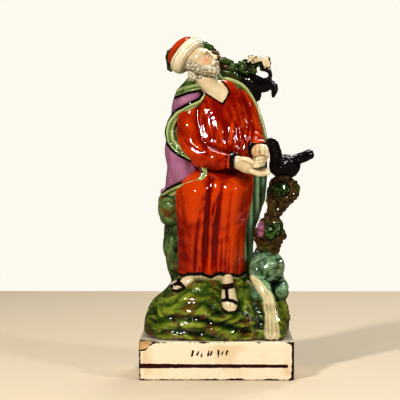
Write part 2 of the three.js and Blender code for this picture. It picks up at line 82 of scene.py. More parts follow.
def linear(code):
    """An sRGB hex colour as linear red, green and blue."""
    channels = [int(code[i : i + 2], 16) / 255 for i in (1, 3, 5)]
    return tuple(c / 12.92 if c <= 0.04045 else ((c + 0.055) / 1.055) ** 2.4 for c in channels)


# Sizes and colours that a user would change


def length(name, description, millimetres):
    return bpy.props.FloatProperty(
        name=name, description=description, default=millimetres * MM, min=0, precision=4, unit="LENGTH"
    )


def enamel(name, description, code):
    return bpy.props.FloatVectorProperty(
        name=name, description=description, default=linear(code), size=3, min=0, max=1, subtype="COLOR"
    )


class OrnamentSizes(bpy.types.PropertyGroup):
    plinth_width: length("Plinth width", "Across the plinth's front", -2 * BOX_LOW.x / MM)
    plinth_depth: length("Plinth depth", "From the plinth's front to its back", -2 * BOX_LOW.y / MM)
    plinth_height: length("Plinth height", "From the surface to the plinth's top", PLINTH_HEIGHT)
    plinth_corner: length("Plinth corner", "Radius of the plinth's upright corners", 2.5)
    plinth_rim: length("Plinth rim", "Rounding of the plinth's top and bottom edges", 0.9)
    figure_height: length("Figure height", "From the plinth's top to the cap", FIGURE_HEIGHT)
    line_height: length("Line height", "Middle of the painted line above the surface", 10.4)
    line_width: length("Line width", "Thickness of the painted line round the plinth", 2.7)
    chip_width: length("Chip width", "How far the worn corner reaches along the plinth", 12.6)
    chip_height: length("Chip height", "How far the worn corner reaches down the plinth", 9.0)
    carving_depth: bpy.props.FloatProperty(
        name="Carving depth",
        description="Depth of the fine carving, 1 as made",
        default=1,
        min=0,
        subtype="FACTOR",
    )


class OrnamentColours(bpy.types.PropertyGroup):
    robe_thin: enamel("Robe, thin", "Iron red where it runs thin on the ridges", "#cc4800")
    robe_laid: enamel("Robe, laid", "Iron red as laid over most of the robe", "#880e00")
    robe_pooled: enamel("Robe, pooled", "Iron red gathered in the folds", "#6e0800")
    pink_thin: enamel("Cloak, thin", "Pink-purple on the cloak's outside", "#c890ac")
    pink_pooled: enamel("Cloak, pooled", "Pink-purple gathered in the cloak's folds", "#713754")
    lining_thin: enamel("Lining, thin", "Pale green inside the cloak's edge", "#bac485")
    lining_pooled: enamel("Lining, pooled", "Green gathered in the lining's folds", "#41602a")
    fall_thin: enamel("Hanging lining, thin", "Cool green of the lining that hangs on the right", "#a2c29a")
    fall_pooled: enamel("Hanging lining, pooled", "Cool green gathered in its folds", "#2c5a38")
    grass_thin: enamel("Ground, thin", "Yellow-green on the mound's ridges", "#8c9636")
    grass_laid: enamel("Ground, laid", "Green over most of the mound", "#3a5214")
    grass_pooled: enamel("Ground, pooled", "Green gathered in the mound's grooves", "#0b1002")
    umber_thin: enamel("Umber, thin", "Ochre brown brushed over the green", "#7a5a20")
    umber_pooled: enamel("Umber, pooled", "Umber gathered in grooves", "#1e0e03")
    rock_thin: enamel("Rock, thin", "Pale green of the rock on the left", "#738a52")
    rock_pooled: enamel("Rock, pooled", "Green gathered on that rock", "#0d1a06")
    teal_thin: enamel("Right rock, thin", "Blue-green on the right rock's veins", "#8fb088")
    teal_pooled: enamel("Right rock, pooled", "Blue-green gathered between the veins", "#082a16")
    water_thin: enamel("Stream, thin", "Bare glaze of the stream", "#d9cda4")
    water_pooled: enamel("Stream, pooled", "Grey-brown strokes in the stream", "#857c5c")
    leaf_thin: enamel("Leaves, thin", "Green on the leaves' ribs", "#4f6f2c")
    leaf_pooled: enamel("Leaves, pooled", "Green gathered between the leaves", "#081a06")
    bark_thin: enamel("Bark, thin", "Olive brown on the bark's ridges", "#6f5628")
    bark_pooled: enamel("Bark, pooled", "Umber gathered in the bark's grooves", "#160802")
    break_thin: enamel("Break, clean", "Cream body where a leaf has snapped off", "#efe2c2")
    break_pooled: enamel("Break, stained", "Stain on the cream body", "#b99a66")
    raven_thin: enamel("Raven, thin", "Black enamel with a brown-purple cast", "#1a1013")
    raven_pooled: enamel("Raven, pooled", "Black enamel gathered between feathers", "#050203")
    flesh_thin: enamel("Flesh, thin", "Cream glaze with a thin flesh tint", "#ebddbc")
    flesh_pooled: enamel("Flesh, pooled", "Flesh tint gathered in hollows", "#b08d5c")
    blush: enamel("Blush", "Warm red rubbed on cheek and lips", "#e0a07a")
    hair_thin: enamel("Hair, thin", "Cream grey on the curls", "#e2dac2")
    hair_pooled: enamel("Hair, pooled", "Grey between the curls", "#776d52")
    bread_thin: enamel("Bread, thin", "Tan of the loaf", "#dfb684")
    bread_pooled: enamel("Bread, pooled", "Brown in the loaf's cuts", "#8f5c2c")
    crown_thin: enamel("Cap, thin", "Red-orange of the cap's crown", "#c8420e")
    crown_pooled: enamel("Cap, pooled", "Red gathered on the crown", "#741803")
    band_thin: enamel("Band, thin", "Cream glaze of the wrapped band", "#f4eacd")
    band_pooled: enamel("Band, pooled", "Grey-tan strokes between the wraps", "#a8966c")
    glaze_clean: enamel("Plinth, clean", "Cream pearl glaze", "#f1e4ca")
    glaze_stained: enamel("Plinth, stained", "Honey stain in the glaze", "#dcba84")
    plinth_line: enamel("Plinth line", "Maroon line round the plinth", "#3a0906")
    worn_edge: enamel("Worn edge", "Brown body where the glaze has worn off", "#34180a")
    worn_body: enamel("Worn body", "Tan body inside the worn corner", "#b08b55")
    ink: enamel("Ink", "Black-brown brush lines", "#120805")
    floor: enamel("Floor", "Pale table top under the ornament", "#dfcfb5")
    wall: enamel("Wall", "Near-white surroundings", "#f3f0e8")


# Forms


def along(rows, t):
    """A smooth run through rows of numbers, at each t from 0 to 1."""
    rows = np.asarray(rows, float)
    place = np.clip(t, 0, 1) * (len(rows) - 1)
    i = np.minimum(place.astype(int), len(rows) - 2)
    f = (place - i)[:, None]
    before, a = rows[np.maximum(i - 1, 0)], rows[i]
    b, after = rows[i + 1], rows[np.minimum(i + 2, len(rows) - 1)]
    slope_a, slope_b = (b - before) / 2, (after - a) / 2
    bend = 3 * (b - a) - 2 * slope_a - slope_b
    return a + f * (slope_a + f * (bend + f * (slope_a + slope_b - 2 * (b - a))))


def closing(t, fullness):
    """How full a form is at t: it closes at both ends, roundly at fullness 2 and nearly flat at 8."""
    return np.clip(1 - np.abs(2 * t - 1) ** fullness, 0, 1) ** (1 / fullness)


def placed(points):
    """Drawn points, in mm above the plinth's top, as places in the frame in metres."""
    sizes = bpy.context.scene.ornament_sizes
    return points * (sizes.figure_height / DRAWN_HEIGHT) + (0, 0, sizes.plinth_height)


def drawn(places):
    """Places in the frame in metres as drawn points, in mm above the plinth's top."""
    sizes = bpy.context.scene.ornament_sizes
    return (places - (0, 0, sizes.plinth_height)) / (sizes.figure_height / DRAWN_HEIGHT)


def moulded(bm, place, around=48, rings=64, pose=None):
    """Adds a sphere's mesh, moved by place(t, angle): t runs up the form, angle goes round it."""
    made = bmesh.ops.create_uvsphere(bm, u_segments=around, v_segments=rings, radius=1)["verts"]
    unit = np.array([v.co for v in made])
    points = place(np.clip((1 + unit[:, 2]) / 2, 0, 1), np.arctan2(unit[:, 1], unit[:, 0]))
    if pose is not None:
        points = points @ pose[:3, :3].T + pose[:3, 3]
    for vert, point in zip(made, placed(points)):
        vert.co = point


def upright(bm, levels, fullness=4, ripple=None, squareness=2, around=96, rings=80, pose=None):
    """A form with level sections, each [height, centre x, centre y, half width, half depth]."""

    def place(t, angle):
        z, cx, cy, rx, ry = along(levels, t).T
        corner = np.abs(np.cos(angle)) ** squareness + np.abs(np.sin(angle)) ** squareness
        full = closing(t, fullness) / corner ** (1 / squareness)
        if ripple:
            full = full * ripple(t, angle)
        return np.stack([cx + rx * full * np.cos(angle), cy + ry * full * np.sin(angle), z], 1)

    moulded(bm, place, around, rings, pose)


def limb(bm, stations, fullness=4, depth=1, ripple=None, facing=(0, 1, 0), around=32, rings=64, pose=None):
    """A rounded limb along a smooth spine of [x, y, z, radius]. Depth flattens it along facing."""

    def place(t, angle):
        spine = along(stations, t)
        run = along(stations, np.minimum(1, t + 0.01)) - along(stations, np.maximum(0, t - 0.01))
        run = run[:, :3] / np.linalg.norm(run[:, :3], axis=1)[:, None]
        side = np.cross(np.array(facing, float), run)
        side /= np.linalg.norm(side, axis=1)[:, None]
        rear = np.cross(run, side)
        full = spine[:, 3] * closing(t, fullness) * (ripple(t, angle) if ripple else 1)
        across = side * (full * np.cos(angle))[:, None]
        return spine[:, :3] + across + rear * (full * depth * np.sin(angle))[:, None]

    moulded(bm, place, around, rings, pose)


def ball(bm, centre, sizes, lean=0.0, around=32, rings=24, pose=None):
    """An oval ball with half sizes x, y, z, turned by lean radians in the front view."""

    def place(t, angle):
        full = closing(t, 2)
        x, y = sizes[0] * full * np.cos(angle), sizes[1] * full * np.sin(angle)
        z = sizes[2] * (2 * t - 1)
        c, s = math.cos(lean), math.sin(lean)
        return np.stack([centre[0] + x * c - z * s, centre[1] + y, centre[2] + x * s + z * c], 1)

    moulded(bm, place, around, rings, pose)


def matrix(*steps):
    out = Matrix.Identity(4)
    for step in steps:
        out = out @ step
    return np.array(out)


def in_frame(co, pose):
    """Points as they lie in a posed frame."""
    back = np.linalg.inv(pose)
    return co @ back[:3, :3].T + back[:3, 3]


# Strokes, masks and unevenness, all worked out for many points at once


def near_path(points, path):
    """Distance of each point from a path of any dimension, and how far along the path it is, from 0 to 1."""
    path = np.asarray(path, float)
    best, place = np.full(len(points), np.inf), np.zeros(len(points))
    for i in range(len(path) - 1):
        run = path[i + 1] - path[i]
        f = np.clip((points - path[i]) @ run / (run @ run), 0, 1)
        far = np.linalg.norm(points - path[i] - f[:, None] * run, axis=1)
        closer = far < best
        best = np.where(closer, far, best)
        place = np.where(closer, (i + f) / (len(path) - 1), place)
    return best, place


def side_of_path(points, path):
    """Distance from a flat path, plus on its left as one goes along it and minus on its right."""
    path = np.asarray(path, float)
    best, sign = np.full(len(points), np.inf), np.ones(len(points))
    for i in range(len(path) - 1):
        run = path[i + 1] - path[i]
        off = points - path[i]
        f = np.clip(off @ run / (run @ run), 0, 1)
        far = np.linalg.norm(off - f[:, None] * run, axis=1)
        turn = run[0] * off[:, 1] - run[1] * off[:, 0]
        closer = far < best
        best = np.where(closer, far, best)
        sign = np.where(closer, np.where(turn >= 0, 1, -1), sign)
    return best * sign


def carving(points, strokes):
    """Depth of carving strokes, each (path, width, depth), and a tint from -1 to 1 that changes by stroke.

    A stroke fades at its ends, and one with a minus depth stands proud.
    """
    depth, tint, strength = (np.zeros(len(points)) for _ in range(3))
    for i, (path, width, deep) in enumerate(strokes):
        path = np.asarray(path, float)
        reach = 3 * width
        inside = np.all((points > path.min(0) - reach) & (points < path.max(0) + reach), axis=1)
        near = np.flatnonzero(inside)
        if not len(near):
            continue
        far, place = near_path(points[near], path)
        weight = np.minimum(1, 0.35 + 3 * np.minimum(place, 1 - place)) * np.exp(-((far / width) ** 2))
        depth[near] += deep * weight
        stronger = near[weight > strength[near]]
        tint[stronger] = ((7 * i) % 11 / 5 - 1) * weight[weight > strength[near]]
        strength[near] = np.maximum(strength[near], weight)
    return depth, tint


def scattered(seed, count, low, high, reach, heading):
    """Short bent strokes strewn over a flat area. heading(u, v) is their direction in radians."""
    rng = np.random.default_rng(seed)
    strokes = []
    for _ in range(count):
        middle = rng.uniform(low, high)
        turn = heading(*middle) + rng.normal(0, 0.18)
        way = np.array([math.cos(turn), math.sin(turn)]) * reach * rng.uniform(0.3, 0.6)
        bow = np.array([-way[1], way[0]]) * rng.uniform(-0.3, 0.3)
        width, depth = rng.uniform(0.7, 1.1), rng.uniform(-0.5, 0.7)
        strokes.append(([middle - way, middle + bow, middle + way], width, depth))
    return strokes


def uneven(co, size, seed=0):
    """A smooth, fixed unevenness from -1 to 1, with humps about size apart."""
    rng = np.random.default_rng(seed)
    total = np.zeros(len(co))
    for _ in range(6):
        way = rng.normal(size=3)
        way *= 2 * math.pi / (size * rng.uniform(0.8, 2.2)) / np.linalg.norm(way)
        bend = rng.normal(size=3)
        bend *= 2 * math.pi / (size * 3) / np.linalg.norm(bend)
        total += np.sin(co @ way + rng.uniform(0, 6) + 1.3 * np.sin(co @ bend + rng.uniform(0, 6)))
    return total / 4


def cells(co, size, seed, stretch=(1, 1, 1)):
    """Rounded cells about size across: distance from the seam, distance from the middle, and a number."""
    table = np.random.default_rng(seed).random((16, 16, 16, 4))
    scaled = co / (np.array(stretch, float) * size)
    base = np.floor(scaled).astype(int)
    first, second, number = np.full(len(co), 9.0), np.full(len(co), 9.0), np.zeros(len(co))
    for step in np.ndindex(3, 3, 3):
        cell = base + step - 1
        row = table[cell[:, 0] % 16, cell[:, 1] % 16, cell[:, 2] % 16]
        far = np.linalg.norm(cell + row[:, :3] - scaled, axis=1)
        closer = far < first
        second = np.where(closer, first, np.minimum(second, far))
        number = np.where(closer, row[:, 3], number)
        first = np.minimum(first, far)
    return size * (second - first) / 2, size * first, number


def ramp(value, low, high):
    """0 at low, 1 at high, and smooth between."""
    t = np.clip((value - low) / (high - low), 0, 1)
    return t * t * (3 - 2 * t)


def seen(co):
    """Each point as the camera sees it, on the upright plane through the plinth's middle: x and z in mm."""
    nearer = -CAMERA_PLACE[1] / (co[:, 1] - CAMERA_PLACE[1])
    eye = CAMERA_PLACE[2] - PLINTH_HEIGHT
    return np.stack([co[:, 0] * nearer, eye + (co[:, 2] - eye) * nearer], 1)


def in_photo(*pixels):
    """Places measured in the photograph's frame, as x and z in mm on the same upright plane."""
    scale = -CAMERA_PLACE[1] / FOCAL_PIXELS
    eye = CAMERA_PLACE[2] - PLINTH_HEIGHT
    return [((px - EYE_PIXEL[0]) * scale, eye - (py - EYE_PIXEL[1]) * scale) for px, py in pixels]


def painted(co, *lines):
    """Distance of each point, as the camera sees it, from the nearest of some painted lines."""
    flat = seen(co)
    return np.min([near_path(flat, line)[0] for line in lines], axis=0)


# From forms to a finished piece


class Clay:
    """A piece's fused mesh while it is worked: points in mm above the plinth's top, and its edges."""

    def __init__(self, name, bm, voxel):
        mesh = bpy.data.meshes.new(name)
        bm.to_mesh(mesh)
        bm.free()
        rough = bpy.data.objects.new(name, mesh)
        bpy.context.scene.collection.objects.link(rough)
        fuse = rough.modifiers.new("fuse", "REMESH")
        fuse.mode = "VOXEL"
        fuse.voxel_size = voxel * MM
        shown = rough.evaluated_get(bpy.context.evaluated_depsgraph_get())
        self.mesh = bpy.data.meshes.new_from_object(shown)
        bpy.data.objects.remove(rough)
        bpy.data.meshes.remove(mesh)
        self.mesh.name = name
        self.name = name
        places = np.empty(len(self.mesh.vertices) * 3)
        self.mesh.vertices.foreach_get("co", places)
        self.co = drawn(places.reshape(-1, 3))
        ends = np.empty(len(self.mesh.edges) * 2, np.int64)
        self.mesh.edges.foreach_get("vertices", ends)
        self.a, self.b = ends.reshape(-1, 2).T
        self.degree = np.bincount(np.concatenate([self.a, self.b]), minlength=len(self.co))[:, None]

    def mean_of_neighbours(self, values):
        out = np.empty_like(values)
        for k in range(values.shape[1]):
            out[:, k] = np.bincount(self.a, values[self.b, k], len(values))
            out[:, k] += np.bincount(self.b, values[self.a, k], len(values))
        return out / self.degree

    def smooth(self, times, share=0.6):
        for _ in range(times):
            self.co = self.co + share * (self.mean_of_neighbours(self.co) - self.co)
        return self

    def normals(self):
        self.mesh.vertices.foreach_set("co", placed(self.co).ravel())
        self.mesh.update()
        out = np.empty(len(self.co) * 3)
        self.mesh.vertex_normals.foreach_get("vector", out)
        return out.reshape(-1, 3)

    def raise_by(self, height):
        """Moves the surface outwards by height, in mm, and inwards where it is below 0."""
        depth = bpy.context.scene.ornament_sizes.carving_depth
        self.co = self.co + depth * self.normals() * np.asarray(height)[:, None]
        return self

    def carve_front(self, depth, share=1.0):
        """Presses depth, in mm, into what faces the front."""
        front = np.clip(-1.6 * self.normals()[:, 1], 0, 1)
        depth = depth * bpy.context.scene.ornament_sizes.carving_depth
        self.co[:, 1] += depth * front * share
        return self

    def pooling(self):
        """Where enamel gathers: above 0 in hollows fine and broad, below 0 on ridges, mostly within 1."""
        out = self.normals()
        soft, total = self.co, 0
        for reach in (12, 50):
            for _ in range(reach):
                soft = soft + 0.6 * (self.mean_of_neighbours(soft) - soft)
            below = np.einsum("ij,ij->i", soft - self.co, out)
            total = total + below / max(np.percentile(np.abs(below), 90), 0.001)
        return np.clip(total / 2, -1.3, 1.3)

    def finish(self, material, shade=0.0, **masks):
        """The finished object, riding on the frame's one body and standing for its one node.

        Masks are in mm, above 0 inside. Shade darkens the paint where it is above 0 and lightens it below 0; it
        carries the paint's own streaks and stains and, on the robe, painted shade and painted highlights.
        """
        # The tone is the pooled enamel plus the shade, so on the robe it also holds painted shade and painted
        # highlights
        masks["tone"] = 0.22 + 0.3 * self.pooling() + shade
        for label, values in masks.items():
            layer = self.mesh.attributes.new(label, "FLOAT", "POINT")
            layer.data.foreach_set("value", np.asarray(values, np.float32))
        self.mesh.polygons.foreach_set("use_smooth", [True] * len(self.mesh.polygons))
        self.mesh.materials.clear()
        self.mesh.materials.append(material)
        made = bpy.data.objects.new(self.name, self.mesh)
        bpy.context.scene.collection.objects.link(made)
        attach(made, "root")
        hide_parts(NODE)
        print(self.name, "triangles", 2 * len(self.mesh.polygons))
        return made


# Glazes and enamels


def add(tree, kind, links=(), stops=(), **settings):
    """Adds a node, with its settings by name, its inputs by name in links and a colour ramp's stops."""
    node = tree.nodes.new("ShaderNode" + kind)
    for label, value in settings.items():
        setattr(node, label, value)
    for label, value in dict(links).items():
        socket = node.inputs[label]
        if isinstance(value, bpy.types.NodeSocket):
            tree.links.new(value, socket)
        else:
            socket.default_value = (*value, 1) if socket.type == "RGBA" else value
    for i, (place, colour) in enumerate(stops):
        stop = node.color_ramp.elements[i] if i < 2 else node.color_ramp.elements.new(place)
        stop.position = place
        stop.color = (*colour, 1)
    return node


EVEN = (1, 1, 1)
FRAY_SIZE = 4  # mm across the bays of a brushed edge
WEAR_SIZE = 12  # mm across the duller patches of the glaze
WAVE_HEIGHT = 0.4  # mm between the troughs and crests of the glaze's waves
STREAKS_IN_TONE = 0.55  # how far the brush's streaks thicken the paint


def enamelled(name, brush, layers, gloss=(0.04, 0.1), ripple=(2.2, 0.12)):
    """A glazed ceramic. Layers of (mask, softness mm, fraying mm, paints from thin to pooled) go on in turn.

    Brush is the patch size in mm and the stretch of the paint's streaks. Gloss is the least and the most
    roughness, and ripple the size in mm and the strength of the glaze's waves.
    """
    colours = bpy.context.scene.ornament_colours
    material = bpy.data.materials.new(name)
    material.use_nodes = True
    tree = material.node_tree
    where = add(tree, "TexCoord").outputs["Object"]
    patches = []
    kinds = ((*brush, 4), (FRAY_SIZE, EVEN, 4), (WEAR_SIZE, EVEN, 4), (ripple[0], EVEN, 2))
    for size, stretch, detail in kinds:
        scaled = add(tree, "Mapping", {"Vector": where, "Scale": stretch}).outputs["Vector"]
        settings = {"Vector": scaled, "Scale": 1 / (size * MM), "Detail": detail, "Roughness": 0.55}
        patches.append(add(tree, "TexNoise", settings).outputs["Fac"])
    streaks, ragged, worn, waves = patches
    # The tone attribute holds pooled enamel and, on the robe, painted shade and painted highlights; the brush's
    # streaks thicken it
    pooling_and_painted_light = add(tree, "Attribute", attribute_name="tone").outputs["Fac"]
    thickness_and_painted_light = {0: streaks, 1: STREAKS_IN_TONE, 2: pooling_and_painted_light}
    tone = add(tree, "Math", thickness_and_painted_light, operation="MULTIPLY_ADD").outputs[0]
    colour = None
    for mask, softness, fraying, shades in layers:
        paint = getattr(colours, shades[0])
        if len(shades) > 1:
            gap = 0.84 / (len(shades) - 1)
            stops = [(0.08 + gap * i, getattr(colours, shade)) for i, shade in enumerate(shades)]
            paint = add(tree, "ValToRGB", {"Fac": tone}, stops).outputs["Color"]
        if colour is None:
            colour = paint
            continue
        inside = add(tree, "Attribute", attribute_name=mask).outputs["Fac"]
        frayed = {0: ragged, 1: 2 * fraying, 2: inside}
        inside = add(tree, "Math", frayed, operation="MULTIPLY_ADD").outputs[0]
        limits = {"Value": inside, "From Min": fraying - softness, "From Max": fraying + softness}
        share = add(tree, "MapRange", limits, interpolation_type="SMOOTHSTEP").outputs["Result"]
        colour = add(tree, "Mix", {0: share, 6: colour, 7: paint}, data_type="RGBA").outputs[2]
    wear = {"Value": worn, "From Min": 0.35, "From Max": 0.65, "To Min": gloss[0], "To Max": gloss[1]}
    relief = {"Height": waves, "Strength": ripple[1], "Distance": WAVE_HEIGHT * MM}
    shader = tree.nodes["Principled BSDF"]
    shader.inputs["IOR"].default_value = 1.52
    shader.inputs["Coat Weight"].default_value = 0.25
    shader.inputs["Coat Roughness"].default_value = 0.05
    tree.links.new(colour, shader.inputs["Base Color"])
    tree.links.new(add(tree, "MapRange", wear).outputs["Result"], shader.inputs["Roughness"])
    tree.links.new(add(tree, "Bump", relief).outputs["Normal"], shader.inputs["Normal"])
    return material


def robe_enamel():
    """Iron-red enamel, laid thick over the glaze: orange where thin on the ridges, deep red in the folds."""
    layers = [
        (None, 0, 0, ("robe_thin", "robe_laid", "robe_pooled")),
        ("skin", 0.2, 0, ("flesh_thin", "flesh_pooled")),
        ("under", 0.2, 0, ("water_thin", "water_pooled")),
        ("outline", 0.25, 0.8, ("ink",)),
    ]
    return enamelled("iron_red_enamel", (9, (1, 1, 0.35)), layers)


def cloak_enamel():
    """Pink-purple enamel outside and copper green inside, each brushed in streaks, with a black edge."""
    layers = [
        (None, 0, 0, ("pink_thin", "pink_pooled")),
        ("lining", 0.3, 0.3, ("lining_thin", "lining_pooled")),
        ("fall", 2, 1, ("fall_thin", "fall_pooled")),
        ("outline", 0.25, 0.5, ("ink",)),
    ]
    return enamelled("pink_and_green_enamel", (5, (1, 1, 0.18)), layers)


def ground_enamel():
    """Copper green, ochre and umber washes that run together over the moulded ground."""
    layers = [
        (None, 0, 0, ("grass_thin", "grass_laid", "grass_pooled")),
        ("rock", 2, 2, ("rock_thin", "rock_pooled")),
        ("teal", 2, 2, ("teal_thin", "teal_pooled")),
        ("umber", 0.8, 2.5, ("umber_thin", "umber_pooled")),
        ("water", 0.6, 1.6, ("water_thin", "water_pooled")),
        ("outline", 0.35, 1.6, ("bark_pooled",)),
    ]
    return enamelled("green_and_umber_enamel", (4.5, (0.6, 1, 1.5)), layers, ripple=(2.2, 0.15))


def bark_enamel():
    """Umber and dark green washes on the bark, with green leaves and cream where leaves have snapped off."""
    layers = [
        (None, 0, 0, ("bark_thin", "bark_pooled")),
        ("leaf", 0.8, 2, ("leaf_thin", "leaf_pooled")),
        ("blossom", 0.8, 1, ("pink_thin", "pink_pooled")),
        ("bare", 0.3, 0.4, ("break_thin", "break_pooled")),
        ("outline", 0.3, 0.8, ("bark_pooled",)),
    ]
    return enamelled("umber_and_leaf_enamel", (5, EVEN), layers, ripple=(2.2, 0.3))


def raven_enamel():
    """Thick black enamel with a brown-purple cast and a full gloss."""
    layers = [(None, 0, 0, ("raven_thin", "raven_pooled"))]
    return enamelled("black_enamel", (6, EVEN), layers, gloss=(0.04, 0.12))


def flesh_glaze():
    """Cream pearl glaze with a thin flesh tint, warm in the cheeks, and grey brushed on the hair."""
    layers = [
        (None, 0, 0, ("flesh_thin", "flesh_pooled")),
        ("blush", 3, 0.3, ("blush",)),
        ("hair", 0.6, 0.6, ("hair_thin", "hair_pooled")),
        ("bread", 0.3, 0.2, ("bread_thin", "bread_pooled")),
        ("outline", 0.25, 0.3, ("ink",)),
    ]
    return enamelled("flesh_tinted_pearl_glaze", (8, EVEN), layers)


def cap_enamel():
    """Red-orange enamel on the cap's crown, and cream glaze with thin grey strokes on its wrapped band."""
    layers = [
        (None, 0, 0, ("band_thin", "band_pooled")),
        ("crown", 0.3, 0.3, ("crown_thin", "crown_pooled")),
        ("outline", 0.25, 0.3, ("ink",)),
    ]
    return enamelled("red_and_cream_enamel", (6, EVEN), layers)


def plinth_glaze():
    """Cream pearl glaze with a maroon line, honey-stained and worn down to the brown body at its edges."""
    layers = [
        (None, 0, 0, ("glaze_clean", "glaze_clean", "glaze_stained")),
        ("chip", 0.5, 0.8, ("worn_body", "glaze_stained")),
        ("line", 0.2, 0.5, ("plinth_line",)),
        ("marks", 0.2, 1.0, ("worn_edge",)),
        ("edge", 0.25, 1.6, ("worn_edge",)),
    ]
    return enamelled("cream_pearl_glaze", (16, EVEN), layers, gloss=(0.14, 0.28), ripple=(3, 0.1))


# Ground

# Strokes pressed into the front: a path of x and z, a width, and a depth that is minus where it stands proud
MOUND_GROOVES = [
    ([(-46, 22), (-30, 27), (-8, 26), (6, 18)], 2.4, 2.2),
    ([(-50, 11), (-30, 17), (-6, 14), (20, 7), (34, 12)], 2.4, 2.4),
    ([(-52, 3), (-34, 7), (-10, 5), (10, 0)], 2.2, 2.0),
    ([(-38, 35), (-24, 36), (-8, 32)], 2.2, 1.8),
    ([(18, 38), (27, 28), (30, 12), (28, 0)], 2.4, 2.4),
    ([(-22, 21), (-8, 20), (2, 11)], 2.2, -1.6),
    ([(14, 14), (20, 21), (22, 32)], 2.4, -1.4),
]
STREAM = in_photo((252, 279), (258, 284), (268, 296), (271, 314), (272.5, 335))
MOUND_REACH = 48  # from the mound's middle to its skin, which turns an angle into a length round it
MOUND_MARGIN = 1.2  # bare ledge of the plinth beside and in front of the mound


def ground_forms(bm):
    foot = placed(np.zeros(3))
    share = placed(np.ones(3))[0] - foot[0]
    sizes = bpy.context.scene.ornament_sizes
    foot_width = sizes.plinth_width / 2 / share - MOUND_MARGIN
    foot_depth = sizes.plinth_depth / 2 / share - MOUND_MARGIN
    levels = [
        [-3, 0, 0, foot_width, foot_depth],
        [5, 0, 0, foot_width - 0.6, foot_depth - 0.4],
        [16, -0.5, 0.5, 51.5, 40],
        [26, -1, 1.5, 45.5, 36],
        [34, -1, 3, 36.5, 31],
        [41, -1.5, 4, 31, 26],
        [47, -3, 5, 26, 19],
    ]
    upright(
        bm,
        levels,
        fullness=7,
        squareness=2.5,
        ripple=lambda t, a: 1 + 0.012 * np.sin(5 * a + 9 * t) * np.sin(np.pi * t),
    )
    ball(bm, (36.5, -9, 51), (13, 13, 12.5), 0.2)
    ball(bm, (47, -2, 33), (6.8, 10, 11), -0.1)
    ball(bm, (47.5, -5, 14), (7, 11, 15), 0.05)
    ball(bm, (36, 13, 40), (14, 17, 26))
    ball(bm, (-33, 7, 94), (11.3, 9, 13.5), 0.05)
    ball(bm, (-31.5, 9, 66), (8, 8, 13), -0.05)
    seat = [
        [34, -5, 14, 29, 20],
        [43, -5.5, 14, 29.5, 20],
        [54, -7.5, 14, 31, 20],
        [66, -7.5, 14, 31.8, 19],
        [80, -7.5, 13, 31, 18.5],
        [92, -7, 12, 33, 18],
        [108, -5, 11, 34, 17.5],
    ]
    upright(bm, seat, fullness=7, ripple=lambda t, a: 1 + 0.03 * np.sin(4 * a + 14 * t))
    water = [
        [27, -15, 50, 4],
        [30, -21.5, 43, 5],
        [35.5, -27, 34, 5.6],
        [39.5, -30.5, 21, 6.4],
        [41, -33, 9, 7.4],
        [41.2, -33.6, -3, 8],
    ]
    limb(bm, water, fullness=8, depth=0.7)


def make_ground():
    bm = bmesh.new()
    ground_forms(bm)
    clay = Clay("ground", bm, 0.9).smooth(4)
    clay.carve_front(carving(clay.co[:, [0, 2]], MOUND_GROOVES)[0])
    co = clay.co
    out = clay.normals()
    on_mound = ramp(co[:, 2], 50, 43)
    water_far = near_path(seen(co), STREAM)[0]
    water_width = 3.2 + 2.6 * ramp(45 - co[:, 2], 0, 40) + 0.5 * uneven(co, 8, 5)
    water = np.where(out[:, 1] < -0.1, water_width - water_far, -5) - 5 * ramp(co[:, 1], -14, -8)
    dry = ramp(-water, -1, 1.5)
    wrapped = np.stack([MOUND_REACH * np.arctan2(co[:, 0], 6 - co[:, 1]), co[:, 2]], 1)
    grass = scattered(
        3, 900, (-150, -2), (150, 47), 11, lambda u, v: -0.006 * u + 0.6 * math.sin(u / 13 + v / 9)
    )
    cracks = scattered(4, 420, (-150, 46), (150, 112), 12, lambda u, v: 1.5 + 0.5 * math.sin(u / 7 + v / 9))
    depth, tint = carving(wrapped, grass + cracks)
    right = ramp(co[:, 0], 22, 28) * ramp(co[:, 2], 24, 34)
    rays = scattered(
        5, 150, (22, 8), (58, 70), 13, lambda u, v: math.atan2(v - 44, u - 22) + 0.3 * math.sin(v / 5)
    )
    ribs, ray_tint = carving(seen(co), rays)
    rays_shown = right * ramp(-out[:, 1], 0, 0.4)
    ribs = ribs * rays_shown
    above = ramp(co[:, 2], 44, 54)
    bent = co + 2 * np.stack([uneven(co, 11, seed) for seed in (14, 15, 16)], 1)
    seam, _, number = cells(bent, 12, 17, (1, 1, 1.4))
    crags = (1.3 * ramp(seam, 0, 2.6) - 0.8 + 0.5 * number) * np.maximum(right, above)
    rough = -depth * (1 - right) * dry - 1.8 * ribs * dry + 0.3 * uneven(co, 9, 4) + crags * dry
    ripples = np.sin(2.1 * side_of_path(seen(co), STREAM) + 1.8 * uneven(co * (1, 1, 0.3), 9, 6))
    rough += 0.16 * ripples * (1 - dry)
    clay.raise_by(rough).smooth(2, 0.35)
    left = ramp(co[:, 2], 45, 52) * (1 - right)
    umber = 2 * uneven(co * (1, 1, 1.5), 13, 13) + 1.6 * tint - 0.9 - 1.2 * right
    edge = 0.5 - np.abs(water) - 3 * ramp(co[:, 2], 40, 46)
    foot = 1.2 - np.abs(co[:, 2] - 0.4 + 0.8 * uneven(co, 14, 21))
    streaks = (ramp(ripples, 0.3, 0.9) - 0.5) * (1 - dry)
    clay.finish(
        ground_enamel(),
        shade=0.24 * tint * (1 - right)
        + 0.3 * ray_tint * rays_shown
        + 0.5 * streaks
        + 0.14 * uneven(co, 24, 8)
        + 0.4 * (number - 0.4) * np.maximum(right, above),
        water=water,
        teal=8 * right - 4,
        rock=8 * left - 4,
        umber=umber,
        outline=np.maximum(edge, foot) - 0.6,
    )


# Tree, leaves and stump

